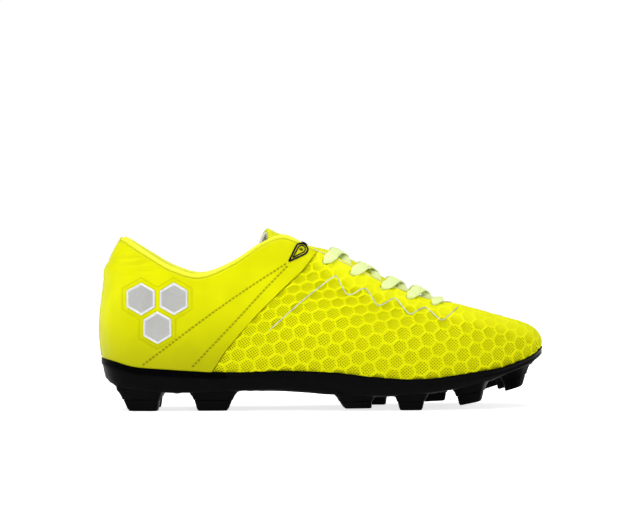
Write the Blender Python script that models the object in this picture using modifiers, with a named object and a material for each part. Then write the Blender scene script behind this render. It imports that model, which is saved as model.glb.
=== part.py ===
"""A moulded-stud soccer cleat for the right foot, in metres, +Z up, toe along +X.

The origin is on the ground under the centre of the shoe. The lateral (outer) side faces -Y.
"""

import math

import bmesh
import bpy
from mathutils import Matrix, Vector

MM = 0.001
GAP = 0.3  # clearance between neighbouring pieces, in millimetres like every length below
LAYER_GAP = 0.6  # clearance between the curved layers of the upper

SKIN_THICKNESS = 1.4
STIFFENER_THICKNESS = 0.9
LINING_THICKNESS = 0.8
FOAM_THICKNESS = 2.4
PATCH_THICKNESS = 0.5
BOARD_THICKNESS = 1.5
SHANK_THICKNESS = 1.0
SOCKLINER_THICKNESS = 3.2
BINDING_DIAMETER = 2.6
LACE_DIAMETER = 2.4
LACE_SPACING = 9.0
LACE_OVER = 2.1  # how high the lace's centre runs over an eyelet
LACE_UNDER = 4.7  # how deep it runs under the eyestays
CROSSING_HEIGHTS = (3.4, 6.6)  # the lower and the upper lace of a crossing, over the tongue
AGLET_LENGTH = 20.0
EYELET_DIAMETER = 5.0
TRIM_DIAMETER = 1.2

STIFFENER_DEPTH = SKIN_THICKNESS + LAYER_GAP
LINING_DEPTH = STIFFENER_DEPTH + STIFFENER_THICKNESS + LAYER_GAP

# The feather edge, where the upper meets the sole: x, height, lateral width, medial width.
# Stations run from the middle of the heel round to the middle of the toe.
FEATHER = (
    (-139.0, 33.2, 0.0, 0.0),
    (-136.8, 33.0, 12.0, 12.0),
    (-130.0, 31.6, 23.0, 22.5),
    (-117.0, 28.2, 31.0, 30.0),
    (-97.0, 26.5, 34.0, 32.5),
    (-72.0, 24.9, 34.5, 31.5),
    (-48.0, 24.6, 35.0, 30.0),
    (-27.0, 25.2, 36.5, 30.0),
    (-8.0, 24.9, 39.5, 32.5),
    (12.0, 23.7, 43.0, 37.0),
    (32.0, 21.3, 46.0, 42.0),
    (52.0, 19.9, 47.6, 46.0),
    (70.0, 20.3, 47.4, 47.4),
    (86.0, 22.4, 44.5, 46.5),
    (100.0, 24.2, 39.5, 43.5),
    (113.0, 26.2, 33.0, 39.0),
    (124.0, 29.6, 25.0, 32.5),
    (132.5, 33.0, 16.0, 24.5),
    (137.6, 36.2, 6.0, 15.0),
    (139.4, 37.6, -4.5, 4.5),
)
# The topline and the edge of the throat at the same stations: x, height, half width.
TOPLINE = (
    (-125.0, 110.1, 0.0),
    (-123.3, 109.4, 8.0),
    (-117.5, 105.8, 16.5),
    (-107.0, 99.0, 23.0),
    (-92.7, 90.7, 27.0),
    (-75.0, 86.2, 29.0),
    (-55.0, 94.0, 28.0),
    (-37.0, 105.9, 26.0),
    (-23.0, 110.6, 24.0),
    (-5.0, 102.6, 21.5),
    (18.0, 91.5, 17.5),
    (40.0, 79.8, 14.0),
    (60.0, 71.6, 10.4),
    (75.0, 67.2, 6.0),
    (84.0, 65.8, 0.0),
)
# The ridge of the vamp from the end of the throat to the toe: x, height, y.
RIDGE = (
    (84.0, 65.8, 0.0),
    (95.0, 62.8, 1.0),
    (106.0, 59.6, 2.0),
    (116.0, 56.7, 3.0),
    (123.0, 54.5, 4.0),
    (127.0, 52.9, 4.5),
)
# How each section bends: outward lean at the bottom, crown angle at the top (degrees from
# upright), and the lengths of the two handles as shares of the section.
BEND = (
    (2.0, 26.0, 0.35, 0.30),
    (3.0, 25.0, 0.35, 0.30),
    (6.0, 20.0, 0.35, 0.30),
    (8.0, 12.0, 0.36, 0.30),
    (8.0, 7.0, 0.36, 0.30),
    (6.0, 5.0, 0.35, 0.30),
    (4.0, 9.0, 0.35, 0.30),
    (3.0, 15.0, 0.35, 0.30),
    (2.0, 22.0, 0.34, 0.30),
    (2.0, 35.0, 0.34, 0.31),
    (2.0, 48.0, 0.36, 0.33),
    (3.0, 58.0, 0.38, 0.35),
    (3.0, 66.0, 0.40, 0.37),
    (3.0, 74.0, 0.41, 0.39),
    (3.0, 88.0, 0.41, 0.40),
    (3.0, 88.0, 0.41, 0.40),
    (3.0, 88.0, 0.41, 0.40),
    (3.0, 88.0, 0.42, 0.40),
    (2.0, 88.0, 0.42, 0.40),
    (2.0, 88.0, 0.42, 0.40),
)
TOE = len(FEATHER) - 1
THROAT_END = len(TOPLINE) - 1

# The quarter meets the knitted vamp on a slanted line, from this station at the sole to
# this one at the top.
QUARTER_FOOT = 5.15
QUARTER_HEAD = 9.15
BINDING_END = 8.75
COLLAR_EDGE = 0.95  # the share of the section where the quarter stops under its binding

# The underside of the plate: x and height.
UNDERSIDE = (
    (-139.5, 28.0),
    (-136.4, 20.4),
    (-128.3, 15.3),
    (-97.0, 11.8),
    (-52.5, 12.5),
    (-31.7, 13.0),
    (-10.4, 11.8),
    (9.4, 9.9),
    (40.0, 9.2),
    (69.9, 11.1),
    (90.0, 14.2),
    (106.3, 17.9),
    (115.3, 21.5),
    (132.6, 27.6),
    (139.8, 33.2),
)
PLATE_RIM = 0.9
TRAY_DEPTH = 4.2
# The plate's wall from its underside up: distance outside the feather edge, negative inside
# it, and share of the height.
PLATE_WALL = ((-6.0, 0.0), (-2.6, 0.10), (-0.6, 0.38), (PLATE_RIM + 0.2, 0.72))
SHANK_SPAN = (4.4, 8.6)  # stations
SHANK_HALF_WIDTH = 10.0
POCKET_MARGIN = 0.1  # stations, past each end of the shank
POCKET_RISE = 1.0
BOARD_SIDE_GAP = 5.2  # from the feather edge
SOCKLINER_SIDE_GAP = 7.0

# Studs: x, y, length and width at the plate, length and width at the ground, foot height,
# shift of the foot along x, and turn in degrees.
STUDS = {
    "heel_lateral_rear": (-113.0, -19.0, 29.0, 14.0, 18.5, 9.0, 0.0, 1.0, -12.0),
    "heel_medial_rear": (-113.0, 19.0, 29.0, 14.0, 18.5, 9.0, 0.0, 1.0, 12.0),
    "heel_lateral_front": (-68.0, -22.0, 30.0, 13.0, 19.0, 8.5, 0.0, -0.5, -3.0),
    "heel_medial_front": (-68.0, 20.0, 30.0, 13.0, 19.0, 8.5, 0.0, -0.5, 3.0),
    "waist_lateral": (21.0, -33.0, 24.0, 12.0, 17.0, 7.5, 1.2, 1.5, 6.0),
    "waist_medial": (32.0, 29.0, 24.0, 12.0, 16.0, 7.5, 0.0, 1.0, -8.0),
    "ball_lateral": (55.5, -36.0, 20.0, 12.0, 14.0, 7.0, 0.0, 0.0, 0.0),
    "ball_medial": (71.5, 34.0, 21.0, 12.0, 14.0, 7.0, 1.6, 0.5, -4.0),
    "fore_lateral": (93.0, -28.0, 20.0, 12.0, 13.5, 7.0, 3.6, 0.0, -22.0),
    "fore_medial": (106.0, 25.0, 20.0, 11.5, 12.5, 6.5, 10.2, 1.5, 24.0),
    "toe_lateral": (121.5, -10.5, 17.0, 11.0, 11.0, 6.0, 11.8, -0.5, -40.0),
    "toe_medial": (118.0, 13.0, 17.0, 11.0, 11.0, 6.0, 11.8, -0.5, 36.0),
}
STUD_STEP = 0.55  # share of the stud's height that its hard tip takes
STUD_ROOT = 1.5  # how far each stud runs up into the plate
STUD_LEDGE = 1.4  # how much wider the stud's root is than its tip where they meet
STUD_CORNER = 2.2  # the bevel of its upright edges
STUD_TAPER = 0.75  # share of the taper that is reached at the step

EYELET_STATIONS = (12.62, 11.72, 10.95, 10.1, 9.4)  # from the toe end up
EYELET_EDGE = 0.895
TOP_EYELET = (-12.1, 100.6)
TEARDROP = (9.5, 5.2)  # from the eyelet's centre to the patch's tip, and the radius of its round end

# Where the hidden and the added layers lie: stations, and shares of the section.
HEEL_STRIP_END = 0.42
COUNTER_END = 4.0
COUNTER_TOP = 0.62
PUFF_START = 15.5
PUFF_TOP = 0.8
EYESTAY_SPAN = (9.25, 13.4)
EYESTAY_HEIGHT = (0.80, 0.985)
EYESTAY_EXTRA_DEPTH = 0.2
COLLAR_BOTTOM = 0.66
COLLAR_FRONT = BINDING_END - 0.35
LAYER_BOTTOM = 0.02  # every inner layer starts a little over the feather edge
QUARTER_LINING_TOP = 0.63
VAMP_LINING_TOP = 0.62
SEAM_SLACK = 0.02  # stations from the quarter line to each of the edges that meet there
QUARTER_START = 0.06  # the station of its back seam, under the heel strip
BINDING_INSET = 2.3
BINDING_DROP = 1.2

# The tongue's centre line: x, height of its face, half width, fall from centre to edge.
TONGUE = (
    (82.0, 60.0, 9.0, 1.5),
    (72.0, 62.6, 11.0, 3.0),
    (60.0, 66.8, 12.5, 4.2),
    (40.0, 76.2, 15.0, 6.4),
    (18.0, 88.2, 17.5, 8.6),
    (-3.0, 98.6, 17.0, 8.6),
    (-18.0, 106.0, 16.5, 8.2),
    (-29.0, 111.2, 15.5, 7.8),
    (-34.0, 113.6, 12.0, 5.6),
)
TONGUE_THICKNESS = 3.6
TONGUE_HINGE = 5.0  # the row of the tongue where its free flap starts
HINGE_GAP = 1.4
HINGE_RISE = 0.2  # the fold's axis lies this far over the tongue's face
TONGUE_ROW_LENGTH = 22.0

# The wavy trim on the forefoot, seen from the side: x and height.
TRIM = (
    (-32.6, 50.5),
    (-13.1, 67.6),
    (7.9, 83.4),
    (13.2, 77.3),
    (18.5, 72.3),
    (26.5, 75.9),
    (34.5, 65.8),
    (45.5, 69.4),
    (55.5, 59.8),
    (65.0, 63.2),
    (75.5, 56.4),
    (86.5, 62.6),
)
# The hexagonal heel patches, seen from the side: x and height of their centres.
HEEL_PATCHES = {
    "rear": (-112.5, 70.5),
    "front": (-92.0, 70.5),
    "lower": (-102.25, 52.7),
}
PATCH_RADIUS = 10.3
PATCH_TURN = 30.0  # degrees, which stands each hexagon on a corner

COLOURS = {
    "black_tpu": ((0.012, 0.012, 0.014), 0.35, 0.0),
    "yellow_leather": ((0.80, 0.86, 0.0), 0.45, 0.0),
    "yellow_knit": ((0.78, 0.84, 0.0), 0.7, 0.0),
    "pale_lining": ((0.70, 0.71, 0.68), 0.9, 0.0),
    "foam": ((0.75, 0.75, 0.70), 0.95, 0.0),
    "board": ((0.42, 0.33, 0.22), 0.85, 0.0),
    "nylon": ((0.05, 0.05, 0.055), 0.5, 0.0),
    "silver": ((0.45, 0.45, 0.44), 0.4, 0.3),
    "lace": ((0.74, 0.95, 0.30), 0.8, 0.0),
    "clear_plastic": ((0.80, 0.88, 0.60), 0.25, 0.0),
}


def clear_scene():
    for thing in list(bpy.data.objects):
        bpy.data.objects.remove(thing, do_unlink=True)


def make_collections():
    made = {}
    for key, title in (("parts", "soccer_cleat"), ("cutters", "cutters")):
        made[key] = bpy.data.collections.new(title)
        bpy.context.scene.collection.children.link(made[key])
    return made


def make_materials():
    made = {}
    for name, (colour, roughness, metallic) in COLOURS.items():
        material = bpy.data.materials.new(name)
        material.use_nodes = True
        shader = material.node_tree.nodes["Principled BSDF"]
        shader.inputs["Base Color"].default_value = (*colour, 1.0)
        shader.inputs["Roughness"].default_value = roughness
        shader.inputs["Metallic"].default_value = metallic
        made[name] = material
    return made


# Curves through stations


def between(before, start, end, after, share):
    """A point of the Catmull-Rom curve from start to end."""
    return 0.5 * (
        2 * start
        + (end - before) * share
        + (2 * before - 5 * start + 4 * end - after) * share**2
        + (3 * start - before - 3 * end + after) * share**3
    )


def along(rows, place, before=None, after=None):
    """The smooth curve through rows of numbers, read at a row number that may be a fraction."""
    last = len(rows) - 1
    index = max(0, min(int(place), last - 1))
    share = place - index
    first = rows[index - 1] if index > 0 else (before or rows[0])
    final = rows[index + 2] if index + 2 <= last else (after or rows[last])
    return [
        between(a, b, c, d, share)
        for a, b, c, d in zip(first, rows[index], rows[index + 1], final)
    ]


def by_x(rows, x):
    """The smooth curve through (x, value) rows, read at x."""
    inside = max(min(x, rows[-1][0]), rows[0][0])
    index = 0
    while index < len(rows) - 2 and rows[index + 1][0] < inside:
        index += 1
    share = (inside - rows[index][0]) / (rows[index + 1][0] - rows[index][0])
    return along(rows, index + share)[1]


# The upper's outer surface


def feather_row(station, medial):
    x, z, outer, inner = FEATHER[station]
    return (x, inner if medial else -outer, z)


def feather(u, medial):
    """A point of the feather edge. Past either end the curve carries on along the other side."""
    rows = [feather_row(i, medial) for i in range(TOE + 1)]
    return Vector(along(rows, u, feather_row(1, not medial), feather_row(TOE - 1, not medial)))


def inward_normal(u, medial):
    """The level direction into the shoe at the feather edge."""
    step = 0.02
    low, high = max(u - step, 0.0), min(u + step, TOE)
    run = feather(high, medial) - feather(low, medial)
    if u in (0.0, TOE):
        return Vector((1.0 if u == 0.0 else -1.0, 0.0, 0.0))
    level = Vector((run.y, -run.x, 0.0)) if medial else Vector((-run.y, run.x, 0.0))
    return level.normalized()


def top(u, medial):
    """A point of the topline, of the throat's edge or, past the throat, of the vamp's ridge."""
    if u >= THROAT_END:
        x, z, y = along(RIDGE, u - THROAT_END)
        return Vector((x, y, z))
    side = 1.0 if medial else -1.0
    x, z, y = along(TOPLINE, u, (TOPLINE[1][0], TOPLINE[1][1], -TOPLINE[1][2]))
    return Vector((x, side * y, z))


def ridge_slope(u):
    ahead, behind = top(min(u + 0.05, TOE), False), top(max(u - 0.05, THROAT_END), False)
    return (ahead.z - behind.z) / (ahead.x - behind.x)


def section_handles(u, medial):
    """The four points of a section's curve; past the throat its end lies along the ridge."""
    start, end = feather(u, medial), top(u, medial)
    lean, crown, rise, reach = along(BEND, u)
    inward = inward_normal(u, medial)
    chord = end - start
    across = chord.dot(inward)
    slide = Vector((chord.x, chord.y, 0.0)) - inward * across
    size = math.hypot(across, chord.z)
    low = start + Vector((0, 0, rise * size)) - inward * (math.tan(math.radians(lean)) * rise * size)
    low += slide / 3
    level = inward * (reach * size * math.sin(math.radians(crown))) + slide / 3
    lift = reach * size * math.cos(math.radians(crown))
    settled = max(0.0, min(u - THROAT_END + 1.0, 1.0))
    lift += (ridge_slope(max(u, THROAT_END)) * level.x - lift) * settled
    return start, low, end - level - Vector((0, 0, lift)), end


def surface(u, v, medial):
    """The outer surface: u is the station, v runs from the feather edge, 0, to the top, 1."""
    a, b, c, d = section_handles(u, medial)
    w = 1 - v
    return a * w**3 + b * (3 * w * w * v) + c * (3 * w * v * v) + d * v**3


def outward(u, v, medial):
    step = 0.01
    u_low, u_high = max(u - step, 0.0), min(u + step, TOE)
    v_low, v_high = max(v - step, 0.0), min(v + step, 1.0)
    along_u = surface(u_high, v, medial) - surface(u_low, v, medial)
    along_v = surface(u, v_high, medial) - surface(u, v_low, medial)
    normal = along_v.cross(along_u) if medial else along_u.cross(along_v)
    if u in (0.0, TOE):
        normal.y = 0.0
    if v == 1.0 and u >= THROAT_END:
        normal = Vector((-ridge_slope(u), 0.0, 1.0))
    return normal.normalized()


def inset(u, v, medial, depth):
    """The point this far under the outer surface, or over it where depth is negative."""
    return surface(u, v, medial) - outward(u, v, medial) * depth


def locate(x, z, medial):
    """The u and v where the surface is at this x and height, by Newton steps."""
    u = 1.0
    while u < TOE - 1 and surface(u, 0.5, medial).x < x:
        u += 0.5
    v = 0.5
    for _ in range(25):
        here = surface(u, v, medial)
        du = (surface(min(u + 0.01, TOE), v, medial) - here) / 0.01
        dv = (surface(u, min(v + 0.01, 1.0), medial) - here) / 0.01
        size = du.x * dv.z - du.z * dv.x
        miss_x, miss_z = x - here.x, z - here.z
        u += (miss_x * dv.z - miss_z * dv.x) / size
        v += (miss_z * du.x - miss_x * du.z) / size
        u, v = max(0.1, min(u, TOE - 0.1)), max(0.0, min(v, 0.985))
    return u, v


def quarter_line(v):
    return QUARTER_FOOT + (QUARTER_HEAD - QUARTER_FOOT) * v


# Objects


class Workshop:
    """Adds finished objects to the part's collection."""

    def __init__(self):
        self.collections = make_collections()
        self.materials = make_materials()

    def add(self, name, data, colour):
        thing = bpy.data.objects.new(name, data)
        if colour:
            data.materials.append(self.materials[colour])
        self.collections["parts" if colour else "cutters"].objects.link(thing)
        if not colour:
            thing.hide_render = True
            thing.display_type = "WIRE"
        return thing

    def mesh(self, name, body, colour, sharp_deg=35.0):
        data = bpy.data.meshes.new(name)
        body.to_mesh(data)
        body.free()
        data.shade_smooth()
        data.set_sharp_from_angle(angle=math.radians(sharp_deg))
        return self.add(name, data, colour)

    def shell(self, name, patches, depth, thickness, colour):
        """An open surface from patches of the upper, thickened inward."""
        body = bmesh.new()
        for patch in patches:
            add_patch(body, patch, depth)
        bmesh.ops.remove_doubles(body, verts=body.verts, dist=0.02 * MM)
        thing = self.mesh(name, body, colour)
        thicken(thing, thickness)
        return thing

    def tube(self, name, points, diameter, colour, cyclic=False, resolution=2):
        data = bpy.data.curves.new(name, "CURVE")
        data.dimensions = "3D"
        data.bevel_depth = diameter / 2 * MM
        data.bevel_resolution = resolution
        data.use_fill_caps = not cyclic
        spline = data.splines.new("POLY")
        spline.points.add(len(points) - 1)
        for knot, point in zip(spline.points, points):
            knot.co = (*(point * MM), 1.0)
        spline.use_cyclic_u = cyclic
        spline.use_smooth = True
        return self.add(name, data, colour)


def thicken(thing, thickness):
    solidify = thing.modifiers.new("thickness", "SOLIDIFY")
    solidify.thickness = thickness * MM
    solidify.offset = -1.0
    return thing


def cut(thing, cutter, operation="DIFFERENCE", solver="EXACT"):
    boolean = thing.modifiers.new("cut", "BOOLEAN")
    boolean.operation = operation
    boolean.solver = solver
    boolean.object = cutter


def add_patch(body, patch, depth):
    """A grid over part of one side. A patch is (medial, columns, rows, place), where place turns
    shares of the columns and rows into u and v."""
    medial, columns, rows, place = patch
    grid = []
    for i in range(columns + 1):
        line = []
        for j in range(rows + 1):
            u, v = place(i / columns, j / rows)
            line.append(body.verts.new(inset(u, v, medial, depth) * MM))
        grid.append(line)
    for i in range(columns):
        for j in range(rows):
            corners = [grid[i][j], grid[i + 1][j], grid[i + 1][j + 1], grid[i][j + 1]]
            body.faces.new(corners[::-1] if medial else corners)


def span(start, end, low=0.0, high=1.0):
    """A rectangle of stations and heights; start and end may be functions of height."""

    def place(i, j):
        v = low + (high - low) * j
        first = start(v) if callable(start) else start
        last = end(v) if callable(end) else end
        return first + (last - first) * i, v

    return place


def both_sides(columns, rows, place):
    return [(medial, columns, rows, place) for medial in (False, True)]


# The sole


def ring(offset, lift, steps=2):
    """Points round the feather edge, moved outward and up; each side has the same stations."""
    count = TOE * steps
    lateral, medial = [], []
    for i in range(count + 1):
        u = i / steps
        for side, points in ((False, lateral), (True, medial)):
            point = feather(u, side) - inward_normal(u, side) * offset
            points.append(point + Vector((0, 0, lift)))
    return lateral + medial[-2:0:-1]


def plate_ring(offset, share):
    """A ring on the plate's wall, this share of the way from its underside to its rim."""
    points = ring(offset, 0.0)
    for point in points:
        floor = by_x(UNDERSIDE, point.x)
        point.z = floor + (point.z - floor) * share
    return points


def close_ring(body, verts, upward):
    """Closes a ring with strips from side to side."""
    half = len(verts) // 2
    for i in range(half):
        a, b = verts[i], verts[i + 1]
        c, d = verts[(-i - 1) % len(verts)], verts[-i % len(verts)]
        corners = []
        for corner in (a, b, c, d):
            if corner not in corners:
                corners.append(corner)
        body.faces.new(corners if upward else corners[::-1])


def loft_rings(body, rings):
    """Joins rings from the lowest outside one, over the rim, to the last inside one."""
    loops = [[body.verts.new(point * MM) for point in points] for points in rings]
    for low, high in zip(loops, loops[1:]):
        for i in range(len(low)):
            k = (i + 1) % len(low)
            body.faces.new((low[i], low[k], high[k], high[i]))
    close_ring(body, loops[0], upward=False)
    close_ring(body, loops[-1], upward=True)


def stud_block(body, size_top, size_foot, z_top, z_foot, centre, shift, turn):
    """A tapered block with bevelled upright edges; z_top is a height or a function of x."""
    made = bmesh.ops.create_cube(body, size=1.0)["verts"]
    turned = Matrix.Rotation(math.radians(turn), 3, "Z")
    for vert in made:
        upper = vert.co.z > 0
        length, width = size_top if upper else size_foot
        local = turned @ Vector((vert.co.x * length, vert.co.y * width, 0.0))
        local.x += centre[0] + (0.0 if upper else shift)
        local.y += centre[1]
        if callable(z_top) and upper:
            local.z = z_top(local.x)
        else:
            local.z = z_top if upper else z_foot
        vert.co = local * MM
    upright = {
        edge
        for vert in made
        for edge in vert.link_edges
        if abs(edge.verts[0].co.z - edge.verts[1].co.z) > 1e-6
    }
    bmesh.ops.bevel(
        body, geom=list(upright), offset=STUD_CORNER * MM, segments=2, affect="EDGES", profile=0.5
    )


def mix(first, second, share):
    return tuple(a + (b - a) * share for a, b in zip(first, second))


def stud_step_height(spec):
    return spec[6] + (by_x(UNDERSIDE, spec[0]) - spec[6]) * STUD_STEP


def add_stud_tips(shop):
    for name, spec in STUDS.items():
        x, y, top_length, top_width, foot_length, foot_width, foot_z, shift, turn = spec
        wide = mix((foot_length, foot_width), (top_length, top_width), STUD_STEP * STUD_TAPER)
        body = bmesh.new()
        stud_block(
            body, wide, (foot_length, foot_width), stud_step_height(spec) - GAP, foot_z,
            (x, y), shift, turn,
        )
        shop.mesh(f"stud_tip_{name}", body, "black_tpu")


def stud_bases(shop):
    body = bmesh.new()
    for spec in STUDS.values():
        x, y, top_length, top_width, foot_length, foot_width, _, _, turn = spec
        narrow = mix((foot_length, foot_width), (top_length, top_width), STUD_STEP * STUD_TAPER)
        narrow = tuple(side + STUD_LEDGE for side in narrow)
        stud_block(
            body, (top_length, top_width), narrow, lambda at: by_x(UNDERSIDE, at) + STUD_ROOT,
            stud_step_height(spec), (x, y), 0.0, turn,
        )
    return shop.mesh("stud_bases", body, None)


def floor_height(u, depth):
    return feather(u, False).z - depth


def add_bed(shop, name, first, last, side_gap, depth, thickness, colour, half_width=None):
    """A sheet that follows the tray's floor between two stations."""
    columns = round((last - first) * 2)
    body = bmesh.new()
    lines = []
    for i in range(columns + 1):
        u = first + (last - first) * i / columns
        ends = []
        for side in (False, True):
            point = feather(u, side) + inward_normal(u, side) * side_gap
            if half_width:
                point.y = half_width if side else -half_width
            point.z = floor_height(u, depth)
            ends.append(point)
        if (ends[0] - ends[1]).length < 0.5:
            lines.append([body.verts.new((ends[0] + ends[1]) / 2 * MM)])
        else:
            lines.append([body.verts.new(ends[0].lerp(ends[1], j / 2) * MM) for j in range(3)])
    for one, two in zip(lines, lines[1:]):
        for j in range(2):
            corners = []
            for corner in (one[min(j, len(one) - 1)], two[min(j, len(two) - 1)],
                           two[min(j + 1, len(two) - 1)], one[min(j + 1, len(one) - 1)]):
                if corner not in corners:
                    corners.append(corner)
            if len(corners) > 2:
                body.faces.new(corners)
    thing = shop.mesh(name, body, colour)
    return thicken(thing, thickness)


def add_outsole(shop):
    body = bmesh.new()
    wall = [plate_ring(offset, share) for offset, share in PLATE_WALL]
    tray = [ring(PLATE_WALL[-1][0], 0.0), ring(GAP, 0.0), ring(GAP, -TRAY_DEPTH)]
    loft_rings(body, wall + tray)
    plate = shop.mesh("outsole", body, "black_tpu")
    cut(plate, stud_bases(shop), "UNION", "MANIFOLD")
    pocket = add_bed(
        shop, "shank_pocket", SHANK_SPAN[0] - POCKET_MARGIN, SHANK_SPAN[1] + POCKET_MARGIN,
        0.0, TRAY_DEPTH - POCKET_RISE, SHANK_THICKNESS + 2 * GAP + POCKET_RISE, None,
        half_width=SHANK_HALF_WIDTH + 0.5,
    )
    cut(plate, pocket, "DIFFERENCE", "MANIFOLD")


def add_beds(shop):
    add_bed(
        shop, "shank", *SHANK_SPAN, 0.0, TRAY_DEPTH + GAP, SHANK_THICKNESS, "nylon",
        half_width=SHANK_HALF_WIDTH,
    )
    board_top = TRAY_DEPTH - GAP - BOARD_THICKNESS
    add_bed(shop, "insole_board", 0.0, TOE, BOARD_SIDE_GAP, board_top, BOARD_THICKNESS, "board")
    liner_top = board_top - 2 * LAYER_GAP - SOCKLINER_THICKNESS
    add_bed(
        shop, "sockliner", 0.0, TOE, SOCKLINER_SIDE_GAP, liner_top, SOCKLINER_THICKNESS, "foam"
    )


# The upper


def eyelet_frames():
    """Each laced eyelet's station, side, place and outward direction, from the toe end up."""
    return {
        medial: [
            (inset(u, EYELET_EDGE, medial, 0.0), outward(u, EYELET_EDGE, medial))
            for u in EYELET_STATIONS
        ]
        for medial in (False, True)
    }


def add_eyelet_cutter(shop, name, places):
    body = bmesh.new()
    for point, direction in places:
        spot = Matrix.Translation(point * MM)
        spot @= direction.to_track_quat("Z", "Y").to_matrix().to_4x4()
        bmesh.ops.create_cone(
            body, cap_ends=True, segments=12, radius1=EYELET_DIAMETER / 2 * MM,
            radius2=EYELET_DIAMETER / 2 * MM, depth=14 * MM, matrix=spot,
        )
    return shop.mesh(name, body, None)


def vamp_patches(rows=7, low=0.0, high=1.0):
    """The knitted front: one sheet round the toe, open along the throat."""
    return both_sides(24, rows, lambda i, j: vamp_place(i, j, low, high))


def vamp_place(i, j, low, high):
    """Columns bunch towards the throat's end so that one column falls exactly on it."""
    v = low + (high - low) * j
    start = quarter_line(v) + SEAM_SLACK
    if i <= 0.5:
        return start + (THROAT_END - start) * i * 2, v
    return THROAT_END + (TOE - THROAT_END) * (i - 0.5) * 2, v


def add_vamp(shop, cutters):
    vamp = shop.shell("vamp", vamp_patches(), 0.0, SKIN_THICKNESS, "yellow_knit")
    for cutter in cutters.values():
        cut(vamp, cutter)


def add_quarters(shop):
    for medial, name in ((False, "quarter_lateral"), (True, "quarter_medial")):
        place = span(QUARTER_START, lambda v: quarter_line(v) - SEAM_SLACK, 0.0, COLLAR_EDGE)
        thing = shop.shell(name, [(medial, 14, 8, place)], 0.0, SKIN_THICKNESS, "yellow_leather")
        u, v = locate(*TOP_EYELET, medial)
        spot = [(surface(u, v, medial), outward(u, v, medial))]
        cut(thing, add_eyelet_cutter(shop, f"{name}_eyelet", spot))


def add_heel_strip(shop):
    place = span(0.0, HEEL_STRIP_END, LAYER_BOTTOM, COLLAR_EDGE)
    shop.shell(
        "heel_strip", both_sides(1, 8, place), -PATCH_THICKNESS - GAP, PATCH_THICKNESS,
        "yellow_leather",
    )


def add_stiffeners(shop):
    shop.shell(
        "heel_counter", both_sides(8, 6, span(0.0, COUNTER_END, LAYER_BOTTOM, COUNTER_TOP)),
        STIFFENER_DEPTH, STIFFENER_THICKNESS, "board",
    )
    shop.shell(
        "toe_puff", both_sides(6, 6, span(PUFF_START, TOE, LAYER_BOTTOM, PUFF_TOP)),
        STIFFENER_DEPTH, STIFFENER_THICKNESS, "board",
    )


def add_eyestays(shop, cutters):
    for medial, name in ((False, "eyestay_lateral"), (True, "eyestay_medial")):
        place = span(*EYESTAY_SPAN, *EYESTAY_HEIGHT)
        thing = shop.shell(
            name, [(medial, 16, 3, place)], STIFFENER_DEPTH + EYESTAY_EXTRA_DEPTH,
            STIFFENER_THICKNESS, "yellow_leather",
        )
        cut(thing, cutters[medial])


def add_collar(shop):
    """Foam and lining round the ankle, and the binding over their edge."""
    place = span(
        0.0, lambda v: min(COLLAR_FRONT, quarter_line(v) - 0.2), COLLAR_BOTTOM, COLLAR_EDGE - 0.01
    )
    foam_depth = STIFFENER_DEPTH + GAP
    shop.shell("collar_foam", both_sides(16, 3, place), foam_depth, FOAM_THICKNESS, "foam")
    shop.shell(
        "collar_lining", both_sides(16, 3, place), foam_depth + FOAM_THICKNESS + GAP,
        LINING_THICKNESS, "pale_lining",
    )
    points = [
        inset(abs(i) / 2, 1.0, i > 0, BINDING_INSET) - Vector((0, 0, BINDING_DROP))
        for i in range(-round(BINDING_END * 2), round(BINDING_END * 2) + 1)
    ]
    shop.tube("collar_binding", points, BINDING_DIAMETER, "yellow_leather")


def add_linings(shop):
    """The quarter's lining under the collar foam, and the vamp's lining up to the eyestays."""
    place = span(0.0, lambda v: quarter_line(v) - 0.05, LAYER_BOTTOM, QUARTER_LINING_TOP)
    shop.shell(
        "quarter_lining", both_sides(12, 5, place), LINING_DEPTH, LINING_THICKNESS, "pale_lining"
    )
    patches = vamp_patches(5, LAYER_BOTTOM, VAMP_LINING_TOP)
    shop.shell("vamp_lining", patches, LINING_DEPTH + LAYER_GAP, LINING_THICKNESS, "pale_lining")


def tongue_point(row, across, depth):
    """A point of the tongue: row along it, across from -1 to 1, depth under its face."""
    x, z, half, fall = along(TONGUE, row)
    ahead, behind = along(TONGUE, min(row + 0.05, 8.0)), along(TONGUE, max(row - 0.05, 0.0))
    run = Vector((behind[0] - ahead[0], 0.0, behind[1] - ahead[1])).normalized()
    face = Vector((x, half * across, z - fall * across * across))
    slope = -2 * fall * across / half
    normal = Vector((0.0, 1.0, slope)).cross(run)
    normal = normal if normal.z > 0 else -normal
    return face - normal.normalized() * depth


def add_tongue_piece(shop, name, first, last, colour):
    columns = max(4, round((last - first) * 3))
    body = bmesh.new()
    lines = []
    for i in range(columns + 1):
        row = first + (last - first) * i / columns
        lines.append([body.verts.new(tongue_point(row, j / 4 - 1, 0.0) * MM) for j in range(9)])
    for one, two in zip(lines, lines[1:]):
        for j in range(8):
            body.faces.new((one[j], one[j + 1], two[j + 1], two[j]))
    thing = shop.mesh(name, body, colour)
    return thicken(thing, TONGUE_THICKNESS)


def add_tongue(shop):
    slack = HINGE_GAP / 2 / TONGUE_ROW_LENGTH
    add_tongue_piece(shop, "tongue_lower", 0.0, TONGUE_HINGE - slack, "yellow_knit")
    flap = add_tongue_piece(shop, "tongue_flap", TONGUE_HINGE + slack, 8.0, "yellow_knit")
    pivot = tongue_point(TONGUE_HINGE, 0.0, -HINGE_RISE) * MM
    flap.data.transform(Matrix.Translation(-pivot))
    flap.location = pivot


# The lace


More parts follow.
